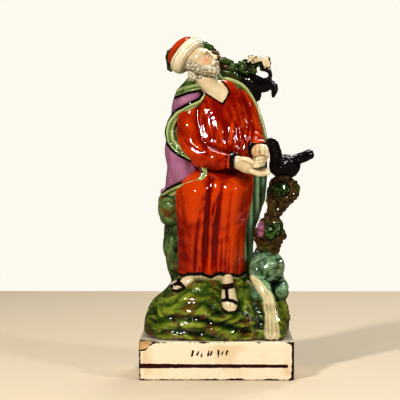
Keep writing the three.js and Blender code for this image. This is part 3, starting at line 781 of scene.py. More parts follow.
LEFT_BREAK = in_photo((250, 59), (258, 57.6))
RIGHT_BREAK = in_photo((264.4, 57), (267, 66))
STUMP_TOP_GREEN = in_photo((277, 189), (283, 188))
STUMP_LOW_GREEN = in_photo((270, 234), (276, 229))
STUMP_BLOSSOM = in_photo((260.5, 224), (259.5, 233))
STUB_THICKNESS = 6


def broken_stub(bm, x, z, half_width, half_height, lean):
    """The flat face left where a leaf has snapped off: a thick plate with an uneven five-sided outline."""
    corners = [(-1, -0.8), (0.95, -1), (1, 0.35), (0.25, 1), (-0.75, 0.7)]
    turn = Matrix.Rotation(lean, 3, "Y")
    verts = []
    for a, b in corners:
        place = turn @ Vector((a * half_width, 0, b * half_height)) + Vector((x, 2.5, z))
        verts.append(bm.verts.new(placed(np.array(place))))
    made = bmesh.ops.extrude_face_region(bm, geom=[bm.faces.new(verts)])["geom"]
    back = [g for g in made if isinstance(g, bmesh.types.BMVert)]
    bmesh.ops.translate(bm, verts=back, vec=(0, STUB_THICKNESS * MM, 0))


def tree_forms(bm):
    trunk = [
        [-2, 22, 20, 18],
        [-3, 22, 60, 15],
        [-5, 22, 100, 13],
        [-6, 21, 140, 11.5],
        [-9, 18, 172, 10],
        [-13, 14, 200, 8.5],
        [-14, 12, 210, 7],
    ]
    limb(bm, trunk, fullness=8, depth=0.8, ripple=lambda t, a: 1 + 0.07 * np.sin(4 * a + 8 * t), around=48)
    ball(bm, (-32.6, 9, 205.4), (5.4, 6, 9.8), -0.15)
    ball(bm, (-17, 13, 208.5), (11, 8, 9), 0.2)
    ball(bm, (-6.5, 11, 210), (11.4, 6, 6.6), -0.6)
    ball(bm, (2, 9, 201), (7.5, 5.5, 7), -0.3)
    ball(bm, (10, 7.5, 193.5), (10, 6, 7.6), -0.3)
    branch = [
        [-10, 13, 203, 7],
        [4, 10, 200, 6],
        [11, 9, 197, 6.6],
        [17, 8, 197.6, 5],
        [23, 7, 199, 5.6],
        [30, 6, 199.5, 4.4],
    ]
    limb(bm, branch, fullness=5)
    leaf_count = 6
    heart = (23.2, 3.5, 198.4)
    for i in range(leaf_count):
        turn = 2 * math.pi * i / leaf_count + 0.35
        tip = (heart[0] + 9 * math.cos(turn), 3, heart[2] + 6 * math.sin(turn))
        middle = ((heart[0] + tip[0]) / 2, 1.2, (heart[2] + tip[2]) / 2)
        limb(bm, [[*heart, 1.2], [*middle, 3.3], [*tip, 1.6]], fullness=2.4, depth=0.6)
    broken_stub(bm, 28, 203.8, 5.8, 4, 0.12)
    broken_stub(bm, 36.6, 200.6, 4.2, 6.4, 0.25)


def make_tree():
    bm = bmesh.new()
    tree_forms(bm)
    clay = Clay("tree", bm, 0.66).smooth(2)
    co = clay.co
    out = clay.normals()
    left_break = 3.4 - painted(co, LEFT_BREAK)
    right_break = 3.2 - painted(co, RIGHT_BREAK)
    rim = 0.8 - np.abs(np.maximum(left_break, right_break) + 0.3) - 3 * ramp(out[:, 1], 0.1, 0.4)
    bare = np.maximum(left_break, right_break) - 4 * ramp(out[:, 1], -0.6, -0.3)
    trunk = ramp(co[:, 2], 196, 186)
    leafy = (1 - trunk) * ramp(-bare, -0.5, 0.8)
    ridges = np.abs(np.sin(0.9 * co[:, 0] + 2.5 * uneven(co * (1, 1, 0.3), 16, 2)))
    bent = co + 2.2 * np.stack([uneven(co, 9, seed) for seed in (34, 35, 36)], 1)
    seam, _, number = cells(bent, 10, 31, (1.2, 1.2, 0.8))
    rib = np.sin(2.2 * bent[:, 2] + 9 * number + (4 * number - 2) * co[:, 0])
    clay.raise_by(
        -0.8 * (1 - ridges) ** 2 * trunk + (1.3 * ramp(seam, 0, 2.4) - 0.8 + 0.3 * rib) * leafy
    ).smooth(1, 0.3)
    green = 6 * (number - 0.5) + 0.8 * uneven(co, 12, 33) + 2 * ramp(co[:, 0], 10, 16) - 6 * trunk
    green = green + 3 * ramp(-co[:, 0], 26, 30)
    lines = np.maximum(0.25 - seam - 3 * trunk, rim)
    clay.finish(
        bark_enamel(),
        shade=0.3 * (number - 0.3) + 0.15 * rib * leafy + 0.35 * ramp(-co[:, 0], 22, 30) * (1 - trunk),
        leaf=green,
        bare=bare,
        blossom=np.full(len(co), -6.0),
        outline=lines,
    )


def make_stump():
    bm = bmesh.new()
    stations = [
        [37, -8, 50, 9],
        [38, -8, 61, 7.4],
        [39.2, -8, 74.5, 12.4],
        [41, -7.5, 84, 8.8],
        [41.8, -7, 89.5, 6],
        [45, -6.5, 98, 9],
        [49.2, -6, 108, 12],
        [48.5, -6, 114.5, 9.5],
        [48, -6, 119, 7],
    ]
    knotted = {"around": 48, "rings": 96, "ripple": lambda t, a: 1 + 0.06 * np.sin(3 * a + 26 * t)}
    limb(bm, stations, fullness=8, depth=0.85, **knotted)
    clay = Clay("stump", bm, 0.5).smooth(4)
    co = clay.co
    bent = co + 2.4 * np.stack([uneven(co, 10, seed) for seed in (45, 46, 47)], 1)
    seam, _, _ = cells(bent, 13, 44, (1, 1, 0.8))
    grain = np.sin(1.3 * bent[:, 2] + 0.9 * bent[:, 0] + 2.5 * uneven(co, 12, 41))
    clay.raise_by(1.1 * ramp(seam, 0, 3) - 0.8 + 0.3 * grain + 0.35 * uneven(co, 4, 42)).smooth(1, 0.3)
    top = 5.4 - painted(co, STUMP_TOP_GREEN) + 0.8 * uneven(co, 7, 48)
    lower = 4.6 - painted(co, STUMP_LOW_GREEN) + 0.8 * uneven(co, 7, 49)
    green = np.maximum(np.maximum(top, lower), 4 * uneven(co, 13, 50) - 2)
    blossom = 2.6 - painted(co, STUMP_BLOSSOM) - 4 * ramp(co[:, 1], -8, -4)
    clay.finish(
        bark_enamel(),
        shade=0.15 + 0.28 * grain + 0.2 * uneven(co, 3, 53),
        leaf=green,
        bare=np.full(len(co), -6.0),
        blossom=blossom,
        outline=0.5 - np.abs(np.maximum(top, lower)),
    )


# Ravens


def raven(name, bm):
    """Shallow overlapping feathers on a raven's fused forms."""
    clay = Clay(name, bm, 0.4).smooth(3)
    seam, _, _ = cells(clay.co, 3.4, 52, (1.5, 1, 0.8))
    clay.raise_by(0.26 * ramp(seam, 0, 0.9) + 0.12 * uneven(clay.co, 6, 51))
    clay.finish(raven_enamel())


def make_ravens():
    bm = bmesh.new()
    ball(bm, (51, -6, 125.2), (11, 8.5, 9), 0.15)
    neck = [
        [48, -7, 122, 7],
        [45.2, -9, 125, 6.8],
        [44, -11.5, 131, 4.7],
        [43, -13, 136.6, 4.3],
        [41.2, -15, 141.6, 4.1],
        [38.4, -17, 142.2, 3.8],
        [36, -19, 139.6, 2],
    ]
    limb(bm, neck)
    limb(bm, [[55, -5, 128.5, 5], [61, -4.5, 131, 3.9], [66.5, -4, 133.2, 3.8], [71.5, -3.5, 135, 3.6]])
    ball(bm, (52.4, -11.6, 127.6), (6.4, 4.4, 5), 0.35)
    raven("lower_raven", bm)
    bm = bmesh.new()
    body = [
        [17.5, 8, 189.6, 4.8],
        [23, 7.5, 188.6, 6.6],
        [29, 6.5, 186.6, 6.8],
        [35, 5.5, 185.6, 5.6],
        [39, 4.5, 186, 4.8],
        [43.2, 3.5, 184.6, 4],
    ]
    limb(bm, body, fullness=3)
    limb(bm, [[41.5, 3.6, 186, 3.8], [43, 2.8, 182, 2.6], [42.4, 2.2, 179, 1.8], [41.8, 1.8, 176.2, 1]])
    wing = [[24, 8, 189, 6], [27.5, 7.5, 182.5, 6], [29.4, 7, 177.5, 4], [28.8, 6.5, 173.5, 2.4]]
    limb(bm, wing, depth=0.8)
    limb(bm, [[38.8, 5, 189, 1.6], [40, 5, 193, 1.4], [38.6, 5.5, 197, 1.8]], fullness=8)
    raven("upper_raven", bm)


# Cloak

# The cloak's turned edge, from the shoulder down: x, y, z and radius
LIP = [
    [-9, -11, 179.5, 1.8],
    [-12, -13.4, 173.4, 2],
    [-20, -13.4, 168.6, 2.4],
    [-27.4, -10.4, 164.8, 2.6],
    [-33, -8.6, 157.4, 3.1],
    [-34.6, -8.8, 150, 3.5],
    [-32.6, -10.2, 142.6, 3.4],
    [-27.6, -13, 136.6, 3],
    [-20.2, -18, 132.4, 2.6],
    [-11.4, -22.5, 126.6, 2.3],
    [-8.8, -23, 121, 2.3],
    [-12, -24.6, 115.6, 2.1],
    [-20, -21.5, 112.7, 2],
    [-28.8, -13, 109.8, 2],
    [-36, -5, 106.6, 2],
    [-40.6, 3, 103.8, 2],
]
# The black line along the cloak's edge: outside is pink, on the right as one goes down it
CLOAK_LINE = in_photo(
    (175.4, 97), (188, 92.4), (201.4, 90), (202.6, 93.6), (198.6, 98.6), (187, 104), (176, 110), (169.6, 116.4),
    (166.4, 122), (164.6, 132), (166.4, 142.5), (172, 149.5), (180, 155.4), (190, 160.4), (199.6, 167.2),
    (201.8, 172), (197.6, 176), (187, 179.6), (176, 184), (167, 188.6), (160.2, 193),
)


def cloak_forms(bm):
    mantle = [
        [98, -4, 9, 37.6, 19],
        [106, -3, 9, 38.6, 19.5],
        [116, 0.2, 8, 35.4, 19.5],
        [134, 2.2, 7, 33.5, 19],
        [150, 1.4, 6, 35, 18.5],
        [164, -0.6, 6, 33, 18],
        [175, -1.5, 6.5, 30.6, 17],
        [183, -2.6, 7, 26, 14.5],
        [190, -3.6, 8, 19, 11],
        [196, -5, 9, 12, 8],
    ]
    upright(bm, mantle, 6, lambda t, a: 1 + 0.03 * np.clip(2 * np.sin(a), 0, 1) * np.cos(9 * a + 2 * t))
    limb(bm, LIP, fullness=8, depth=0.8, rings=128)
    shoulder = [[-30, -4, 168, 4.4], [-24.5, -7.6, 171.4, 5.4], [-18, -9.6, 174.4, 5], [-12, -10, 178, 3.6]]
    limb(bm, shoulder, fullness=3)
    limb(bm, [[-23, -4, 179, 4.4], [-17, -7.6, 181, 4.4], [-11.6, -9.4, 183.4, 2.8]], fullness=3)
    lining = [
        [-29, -5, 167, 3],
        [-32.5, -6, 156, 4.6],
        [-31.5, -7.5, 145, 5.4],
        [-26, -10, 135.5, 4.8],
        [-19.5, -15, 128, 3],
    ]
    limb(bm, lining, fullness=3, depth=0.75)
    hip_fold = [
        [-33, -3, 150, 5],
        [-28.6, -5.6, 138, 10],
        [-24.5, -7, 125, 12],
        [-26, -3, 114, 12],
        [-30, 2, 104, 10],
    ]
    limb(bm, hip_fold, fullness=5)
    right_edge = [
        [1.4, -2.4, 190.3, 1.5],
        [11.3, -1.6, 188.9, 1.5],
        [20.6, -1.6, 183.9, 1.5],
        [27.8, -2.2, 173.4, 1.5],
        [31.4, -2.8, 164.2, 1.6],
        [34, -3.4, 155.2, 1.7],
        [35.8, -4.6, 145.2, 1.8],
        [36.7, -6.4, 133, 2],
    ]
    limb(bm, right_edge, fullness=8, depth=1.3, rings=96)
    fall = [
        [24, 5, 150, 12],
        [25, 4, 128, 13],
        [23.6, 3, 104, 12.6],
        [18, 2, 78, 10.4],
        [17, 1, 56, 10],
        [17, 1, 44, 10],
    ]
    limb(bm, fall, fullness=6, depth=0.8, around=48)


def make_cloak():
    bm = bmesh.new()
    cloak_forms(bm)
    clay = Clay("cloak", bm, 0.72).smooth(3)
    co = clay.co
    out = clay.normals()
    inner = side_of_path(seen(co), CLOAK_LINE)
    right = ramp(co[:, 0], 4, 8)
    front = ramp(-out[:, 1], -0.15, 0.1)
    back = ramp(out[:, 1], 0.05, 0.5)
    back_folds = np.cos(0.42 * co[:, 0] + 1.6 * np.sin(co[:, 2] / 26) + 0.5 * uneven(co, 30, 60)) * back
    clay.raise_by(0.9 * back_folds * ramp(co[:, 2], 188, 160))
    hem_wave = np.sin(co[:, 0] / 6.5 + 1) + 0.6 * np.sin(co[:, 0] / 3.7)
    clay.co[:, 2] += 2.2 * back * ramp(co[:, 2], 124, 100) * hem_wave
    low_right = right * ramp(co[:, 2], 150, 130)
    hang = np.sin(1.3 * co[:, 0] + 1.6 * uneven(co * (1, 1, 0.25), 20, 61)) * low_right * front
    lining_folds = np.sin(1.5 * inner + 1.4 * uneven(co, 16, 62)) * (1 - right) * ramp(inner, 0.5, 2) * front
    pink_folds = uneven(co * (1, 1, 0.35), 9, 63) * (1 - right) * ramp(-inner, 1, 3)
    clay.raise_by(0.45 * hang + 0.35 * lining_folds + 0.5 * pink_folds + 0.15 * uneven(co, 7, 64))
    near_line = ramp(out[:, 1], 0.45, 0.1) * ramp(co[:, 1], 9, 5)
    top_edge = in_photo((196, 80), (214, 75), (229, 79.5), (240, 92), (246.5, 110), (249.5, 128))
    cream = 1.2 - painted(co, top_edge)
    edge_right = 1.5 - co[:, 1] + 0.6 * uneven(co, 20, 65)
    lining = np.where(co[:, 0] > 5, edge_right, np.where(near_line > 0.3, inner, -3.0))
    nape = np.minimum(co[:, 2] - 179 - 0.4 * np.abs(co[:, 0] + 10), 5 - co[:, 1])
    lining = np.where(co[:, 0] < 6, np.maximum(lining, nape), lining)
    clay.finish(
        cloak_enamel(),
        shade=0.1
        + 0.12 * back
        - 0.35 * ramp(cream, 0, 1)
        + 0.2 * ramp(co[:, 2], 178, 184) * (1 - right)
        - 0.22 * (hang + lining_folds),
        lining=lining,
        fall=np.minimum(8 * ramp(104 - co[:, 2] + 40 * right, -4, 4) * ramp(cream, 0.4, -0.4) - 4, lining),
        outline=np.maximum(
            1.0 - np.abs(inner) - 9 * right - 9 * (1 - near_line),
            0.7 - np.abs(edge_right + 0.6) - 9 * (1 - ramp(co[:, 0], 12, 16)),
        ),
    )


# Robe

# Strokes pressed into the robe's front, given as the mound's are
PLEATS = [
    ([(9, 166), (14, 155), (15.5, 136)], 1.8, 0.45),
    ([(17, 168), (21, 159), (21.6, 138)], 1.8, 0.5),
    ([(24, 170), (24.6, 157), (24.2, 141)], 1.5, 1.5),
    ([(5, 160), (7, 152), (4, 139)], 1.8, 0.4),
    ([(-3, 160), (-1.5, 152), (-4, 142)], 2.4, 0.3),
    ([(-9, 164), (-9, 158), (-11, 147)], 2.6, 0.5),
    ([(12.5, 160), (10.5, 148), (9, 138)], 1.7, -0.8),
    ([(-3.4, 121), (-5.8, 101), (-7.6, 76), (-8.6, 50)], 2.8, 2.3),
    ([(4.4, 112), (1.4, 98), (-0.5, 76), (-1.5, 47)], 2.2, 1.5),
    ([(-8, 113), (-12, 90), (-15, 68), (-15.8, 48)], 2.2, 0.8),
    ([(11.4, 112), (9.4, 92), (8, 72), (6.4, 48)], 2.1, 0.9),
    ([(20.4, 112), (18.4, 94), (16.6, 68), (15.6, 47)], 2.2, 1.0),
    ([(-24, 102), (-25, 76), (-24, 52)], 2.4, 1.0),
    ([(-6.4, 99), (-2.8, 86), (0.4, 98)], 1.6, -1.5),
    ([(-3, 106), (-4.6, 84), (-5, 60)], 1.2, -1.4),
    ([(-16, 116), (-18, 104), (-19, 76), (-19.5, 48)], 8, -3.4),
    ([(12, 118), (14, 106), (11.5, 78), (10, 48)], 8, -3.4),
]
COLLAR = in_photo(
    (201.6, 89), (206.4, 93.6), (213, 97.7), (222.8, 103.6),
    (226.6, 97.6), (229.6, 91), (226, 85), (220, 78.6),
)
# Path of the painted shadow under the right forearm, at the waist
BELT = in_photo((206, 166), (214, 171), (230, 173), (248, 168))
# Paths of the painted highlights on the knees, where the red is made lighter
RIGHT_KNEE_HIGHLIGHT = in_photo((190, 186), (192, 206))
LEFT_KNEE_HIGHLIGHT = in_photo((232, 190), (233, 250))
BELT_PIXEL_Y = 158
HEM_PIXEL_Y = 276
RIGHT_SLEEVE = [
    [-11, 0, 182, 5.5],
    [-14.8, -3.5, 173, 8.2],
    [-18.6, -7, 159, 10.8],
    [-17, -12, 144.5, 10.8],
    [-10.5, -18, 134, 9.6],
    [-1, -24, 130.5, 7.8],
    [10, -28.4, 129.4, 6],
]
LEFT_SLEEVE = [
    [14, 1, 181, 6],
    [20, -2, 173, 6.8],
    [25, -5, 159, 7],
    [27.6, -9, 148, 6.8],
    [29.6, -15, 142.5, 6.4],
    [30.6, -20.5, 139.6, 5.4],
]


def gathers():
    """Small folds that fan up from the belt, cross the elbows and rise from the hem."""
    strokes = []
    for i in range(2, 11):
        low_x, high_x = 207 + 3.3 * i, 198 + 5.2 * i
        rise = 22 + 9 * math.sin(2.3 * i) ** 2
        middle = (0.6 * low_x + 0.4 * high_x, BELT_PIXEL_Y - 0.5 * rise)
        fold = in_photo((low_x, BELT_PIXEL_Y), middle, (high_x, BELT_PIXEL_Y - rise))
        strokes.append((fold, 0.6, 0.5 if i % 2 else 0.32))
    for i in range(4):
        upper, middle = (183 + 3 * i, 137 + 3.4 * i), (189 + 3.6 * i, 145 + 2.4 * i)
        lower = (199 + 4 * i, 150 + 1.6 * i)
        strokes.append((in_photo(upper, middle, lower), 1.0, 0.7))
        upper, lower = (243 + 2 * i, 118 + 7 * i), (247 + 1.4 * i, 124 + 7 * i)
        strokes.append((in_photo(upper, lower), 0.8, 0.5))
    for i in range(6):
        low_x = 194 + 8.6 * i
        middle, top = (low_x + 1.5, 256 - 6 * (i % 3)), (low_x + 2, 238)
        strokes.append((in_photo((low_x, HEM_PIXEL_Y), middle, top), 1.0, 0.5))
        foot, top = (low_x + 5, HEM_PIXEL_Y + 2), (low_x + 6, 266 + 4 * (i % 2))
        strokes.append((in_photo(foot, top), 0.8, 0.4))
    return strokes


def robe_forms(bm):
    chest = [
        [119, 4.5, -3, 23, 17],
        [124, 4.5, -4, 24.5, 18.5],
        [131, 5, -5, 27, 20.5],
        [143, 5, -4.5, 28, 20.5],
        [156, 4, -3, 26.5, 19],
        [168, 2.6, -1, 24.5, 17],
        [179, 3, 1, 19.5, 14],
        [190, 3, 3, 11, 10],
    ]
    upright(bm, chest, fullness=5)
    skirt = [
        [41, -3, -3.6, 23.4, 16],
        [44.5, -3, -4, 25.6, 18],
        [50, -3, -4.5, 25.4, 18.5],
        [62, -3.6, -5, 25, 18.5],
        [80, -3.4, -6.5, 25.6, 19.5],
        [97, -2.2, -8, 28, 21],
        [109, -1.2, -8, 28.6, 21.5],
        [119, 1, -5.5, 26.5, 19.5],
        [126, 3, -3, 22, 15],
    ]
    upright(bm, skirt, fullness=9)
    arm = {"fullness": 6, "around": 48, "rings": 96}
    limb(bm, RIGHT_SLEEVE, depth=0.95, ripple=lambda t, a: 1 + 0.03 * np.sin(3 * a + 30 * t), **arm)
    outward = (1, 0.4, 0)
    limb(bm, LEFT_SLEEVE, facing=outward, ripple=lambda t, a: 1 + 0.03 * np.sin(3 * a + 24 * t), **arm)
    limb(bm, [[9, -28.2, 129.6, 6.4], [11.4, -28.8, 129.4, 6.5], [13.8, -29.4, 129.2, 6]], fullness=8)
    left_cuff = [[30.5, -18.6, 140.6, 6], [30.7, -20.8, 139.6, 6.1], [30.8, -23, 138.4, 5.6]]
    limb(bm, left_cuff, fullness=8, facing=outward)


def make_robe():
    bm = bmesh.new()
    robe_forms(bm)
    clay = Clay("robe", bm, 0.62).smooth(3)
    co = clay.co
    right_arm = near_path(co, np.array(RIGHT_SLEEVE)[:, :3])[0] - 11
    left_arm = near_path(co, np.array(LEFT_SLEEVE)[:, :3])[0] - 8
    body = ramp(np.minimum(right_arm, left_arm), 0, 2.5)
    clay.carve_front(carving(co[:, [0, 2]], PLEATS)[0], body)
    clay.carve_front(carving(seen(clay.co), gathers())[0], 0.3 + 0.7 * body)
    hem = 46.4 + 0.9 * np.sin(co[:, 0] / 3.1) + 0.5 * np.sin(co[:, 0] / 1.7 + 1)
    drape = uneven(co * (1, 1, 0.22), 6, 75) * ramp(co[:, 2], 118, 124)
    clay.raise_by(0.3 * uneven(co, 10, 71) + 0.25 * drape + 0.05 * uneven(co, 3.4, 72)).smooth(1, 0.3)
    co = clay.co
    # Painted shadow under the right forearm, at the waist
    belt_shadow = ramp(2.2 - painted(co, BELT), 0, 2)
    collar = 0.7 - painted(co, COLLAR) - 8 * ramp(co[:, 1], 2, 6)
    throat = side_of_path(seen(co), COLLAR + COLLAR[:1]) - 8 * ramp(co[:, 1], 2, 6)
    cuff = np.minimum(co[:, 0] - 9.2, 8 - near_path(co, [(12, -29, 129.4), (14, -29.4, 129.2)])[0])
    left_cuff = np.minimum(143 - co[:, 2], 8 - near_path(co, [(30.6, -20, 139), (30.8, -23, 138.4)])[0])
    # Painted highlights: the red is made lighter on both knees
    knee_highlights = ramp(14 - painted(co, RIGHT_KNEE_HIGHLIGHT), 0, 9)
    knee_highlights = np.maximum(knee_highlights, ramp(13 - painted(co, LEFT_KNEE_HIGHLIGHT), 0, 9))
    streaks = uneven(co * (1, 1, 0.25), 8, 73)
    # The shade darkens a painted shadow under the forearm at the waist and lightens the painted highlights on
    # the knees
    clay.finish(
        robe_enamel(),
        shade=0.1 * streaks + 0.3 * belt_shadow + 0.08 * uneven(co, 26, 74) - 0.34 * knee_highlights,
        skin=throat,
        under=hem - 0.6 - co[:, 2],
        outline=np.maximum(np.maximum(1.3 - np.abs(co[:, 2] - hem), collar), np.maximum(cuff, left_cuff)),
    )


# Hands, bread and feet

LOAF = (31.4, -30.8, 136.6)
LOAF_CUTS = [in_photo((255.4 + 3 * i, 147), (256 + 3 * i, 153)) for i in range(2)]
TOE_GAPS = [in_photo((223 + 3.6 * i, 303.5), (224 + 3.4 * i, 309)) for i in range(4)]


def make_hands():
    bm = bmesh.new()
    palm = [[12.5, -29, 129.4, 4.8], [17, -30, 128, 5], [22, -30.6, 125.6, 5], [27.5, -31, 123.2, 4.2]]
    limb(bm, palm, fullness=5, depth=0.8)
    for i in range(4):
        finger = [
            [23.5, -33.2 + 2.4 * i, 123.2 + 0.4 * i, 2.2],
            [30, -34 + 2.4 * i, 120.6 + 0.5 * i, 2],
            [35.2, -33.6 + 2.3 * i, 120.6 + 0.7 * i, 1.8],
            [38.8 - 0.6 * i, -32.8 + 2.2 * i, 122 + 0.8 * i, 1.3],
        ]
        limb(bm, finger)
    limb(bm, [[17, -30.6, 130.8, 2.4], [22.5, -32.6, 130.2, 2.2], [27.5, -33.6, 127.6, 1.8]])
    wrist = [[30.8, -21, 139, 4.4], [31, -25, 135, 4.8], [30.6, -28.6, 130.6, 4.4], [29.4, -31, 127.2, 3.2]]
    limb(bm, wrist, facing=(1, 0.4, 0))
    for i in range(3):
        finger = [
            [37 - 1.2 * i, -30 - 0.6 * i, 133.4 - 2.4 * i, 2.2],
            [32.6 - 1.2 * i, -33.6 - 0.4 * i, 131.6 - 2.4 * i, 2],
            [28 - 0.8 * i, -34.6, 130.6 - 2.4 * i, 1.5],
        ]
        limb(bm, finger)
    for i in range(2):
        bent_finger = [
            [36.4 - 2.6 * i, -34.6, 133 + i, 1.8],
            [35.8 - 2.4 * i, -35, 138, 1.9],
            [34.4 - 2 * i, -33.4, 141, 1.4],
        ]
        limb(bm, bent_finger)
    ball(bm, LOAF, (6.4, 4.8, 5.6), 0.1)
    clay = Clay("hands_and_bread", bm, 0.3).smooth(2)
    co = clay.co
    loaf = np.minimum(6.6 - np.linalg.norm((co - LOAF) * (1, 1.38, 1.15), axis=1), 33.2 - co[:, 0])
    cuts = [(cut, 0.45, 0.5) for cut in LOAF_CUTS]
    clay.carve_front(carving(seen(co), cuts)[0], ramp(loaf, -0.5, 0))
    clay.raise_by(0.08 * uneven(co, 4, 81))
    away = np.full(len(co), -5.0)
    clay.finish(flesh_glaze(), bread=loaf, hair=away, blush=away, outline=away)


def make_feet():
    bm = bmesh.new()
    right = [
        [8, -16.5, 47, 4.2],
        [8.3, -21.5, 41.5, 4.2],
        [8.8, -29.5, 34.5, 5.2],
        [9.6, -34.8, 25.6, 6.4],
        [10, -36.6, 20, 6.2],
    ]
    left = [
        [-17.5, -12, 47, 4],
        [-20, -16, 42, 4],
        [-25, -18.4, 39.4, 4.6],
        [-30, -19.6, 36.8, 5],
        [-33, -20.2, 35.6, 4.8],
    ]
    for stations in (right, left):
        limb(bm, stations, facing=(1, 0.2, 0))
    clay = Clay("sandalled_feet", bm, 0.35).smooth(3)
    co = clay.co
    straps = [
        in_photo((218, 286), (222, 287.4), (227, 288), (233, 286)),
        in_photo((218, 284), (226, 285.6), (233, 284)),
        in_photo((226.5, 288), (227.3, 299)),
        in_photo((219, 301), (226, 299.5), (232, 300.4), (239, 304)),
        in_photo((219, 288), (219.6, 301), (221.6, 308.6), (228, 312.8), (236, 311.8), (239.4, 305)),
        in_photo((183, 274), (178, 281), (184, 287)),
        in_photo((170, 287), (176, 283.5), (181, 284)),
        in_photo((171, 289.6), (176, 291), (183, 288.6)),
    ]
    line = painted(co, *straps)
    toes = [(gap, 0.35, 0.35) for gap in TOE_GAPS]
    clay.carve_front(carving(seen(co), toes)[0])
    shown = ramp(clay.normals()[:, 1], 0.1, -0.3)
    clay.raise_by(0.3 * ramp(line, 1.4, 0.9) * shown)
    away = np.full(len(co), -5.0)
    clay.finish(flesh_glaze(), bread=away, hair=away, blush=away, outline=1.25 - line - 3 * (1 - shown))


# Head, beard and cap: built upright, facing the front, about their own middle, then turned

HEAD = matrix(
    Matrix.Translation((-12.6, -3, 201.2)),
    Matrix.Rotation(math.radians(64), 4, "Z"),
    Matrix.Rotation(math.radians(-28), 4, "X"),
    Matrix.Scale(0.92, 4),
)
CAP = HEAD @ matrix(Matrix.Translation((0, 4, 5)), Matrix.Rotation(math.radians(-24), 4, "X"))


def head_forms(bm):
    neck = [[-13, 0, 197, 8.4], [-9.5, -1, 190, 8], [-4.5, -2.6, 183, 8], [1, -5, 177, 8], [4, -6.5, 172, 7]]
    limb(bm, neck, around=48)
    skull = [
        [-13.6, 0, -6.6, 4, 5.4],
        [-10.4, 0, -4.6, 7.2, 8.4],
        [-5, 0, -2.2, 9.2, 10.8],
        [1, 0, 0, 10, 12.4],
        [7, 0, 0.4, 9.8, 12.4],
        [13, 0, 0.6, 7, 9],
    ]
    upright(bm, skull, fullness=3, pose=HEAD)
    nose = [[0, -11.2, 3.8, 1], [0, -13, 0.4, 1.3], [0, -14.6, -2.4, 1.8], [0, -13.8, -3.9, 1.9]]
    limb(bm, nose, fullness=3, pose=HEAD)
    small = {"around": 24, "rings": 16, "pose": HEAD}
    for side in (-1, 1):
        brow = [[1.6 * side, -12, 3.6, 0.8], [4.4 * side, -11.9, 4.5, 1], [7.2 * side, -9.4, 3.4, 0.7]]
        limb(bm, brow, **small)
        ball(bm, (4 * side, -10.9, 0.6), (2.1, 1.6, 1.25), **small)
        ball(bm, (1.6 * side, -13.2, -3.7), (1.1, 1.3, 1), **small)
        moustache = [
            [0.4 * side, -13.4, -5.8, 1.2],
            [3 * side, -13, -6.6, 1.7],
            [6.4 * side, -10.6, -8.8, 1.3],
        ]
        limb(bm, moustache, fullness=3, pose=HEAD)
        ball(bm, (9.4 * side, 0.6, -0.6), (1.4, 2.2, 3.2), **small)
    ball(bm, (0, -12.7, -7.9), (2.4, 1.3, 0.9), **small)
    beard = [
        [-15.4, 0, -8.8, 2.6, 3.2],
        [-13.2, 0, -7.6, 5.8, 5.6],
        [-10.4, 0, -6, 8.2, 7.6],
        [-7.4, 0, -4.2, 9.5, 8.6],
        [-4.6, 0, -1.6, 9.8, 8],
        [-2, 0, 1.4, 9.3, 6.4],
    ]
    upright(bm, beard, pose=HEAD)
    ball(bm, (0, 7.6, -7), (9, 5.4, 6), pose=HEAD)


def make_head():
    bm = bmesh.new()
    head_forms(bm)
    clay = Clay("head", bm, 0.34).smooth(2)
    local = in_frame(clay.co, HEAD)
    side, depth, height = np.abs(local[:, 0]), local[:, 1], local[:, 2]
    beard_top = np.interp(depth, [-15, -11, -8, -5, -2, 1], [-9.4, -9, -8, -5.4, -1, 5])
    beard_foot = np.interp(depth, [-12, -4, 0, 10], [-17.5, -15.5, -13, -13])
    moustache = [(-6.6, -10.6, -9), (-3, -13.2, -6.6), (0, -14, -5.7), (3, -13.2, -6.6), (6.6, -10.6, -9)]
    hair = np.minimum(beard_top - height, height - beard_foot)
    hair = np.maximum(hair, 1.5 - near_path(local, moustache)[0])
    curls = ramp(hair, -0.4, 0.8)
    bent = local + 0.9 * np.stack([uneven(local, 5, seed) for seed in (92, 93, 94)], 1)
    seam, middle, number = cells(bent, 3.4, 77)
    rings = np.sin(3.4 * middle + 6 * number)
    clay.raise_by(curls * (0.7 * ramp(seam, 0, 1.3) - 0.35 + 0.2 * rings) + 0.05 * uneven(clay.co, 5, 91))
    eye, pupil, lid, brow, cheek = [], [], [], [], []
    for s in (-1, 1):
        eye.append(np.linalg.norm((local - (4 * s, -12.2, 0.6)) * (0.6, 0.3, 1.2), axis=1))
        pupil.append(np.linalg.norm((local - (3.9 * s, -12.4, 0.7)) * (1, 0.4, 1), axis=1))
        lid.append(near_path(local, [(s * 2, -12.4, 1), (s * 4, -12.8, 1.8), (s * 6, -11.2, 0.9)])[0])
        brow_line = [(s * 1.8, -12.6, 3.7), (s * 4.2, -12.8, 4.7), (s * 6.8, -10.2, 3.8)]
        brow.append(near_path(local, brow_line)[0])
        cheek.append(np.linalg.norm(local - (6.4 * s, -9.6, -2.4), axis=1))
    eye, pupil, lid, brow, cheek = (np.min(values, axis=0) for values in (eye, pupil, lid, brow, cheek))
    lips = near_path(local, [(-2, -13.4, -7.8), (2, -13.4, -7.8)])[0]
    blush = np.maximum(2.4 - cheek, 2.6 - 3 * lips) - 4 * ramp(1.4 - eye, 0, 0.3)
    lines = np.maximum(np.maximum(0.75 - pupil, 0.4 - lid), 0.35 - brow - 0.3 * side / 6)
    clay.finish(
        flesh_glaze(),
        shade=curls * (0.12 * ramp(0.7 - seam, 0, 0.6) + 0.16 * ramp(-rings, 0.4, 0.95) - 0.12)
        - 0.25 * ramp(1.3 - eye, 0, 0.3),
        bread=np.full(len(local), -5.0),
        hair=hair,
        blush=blush,
        outline=lines,
    )


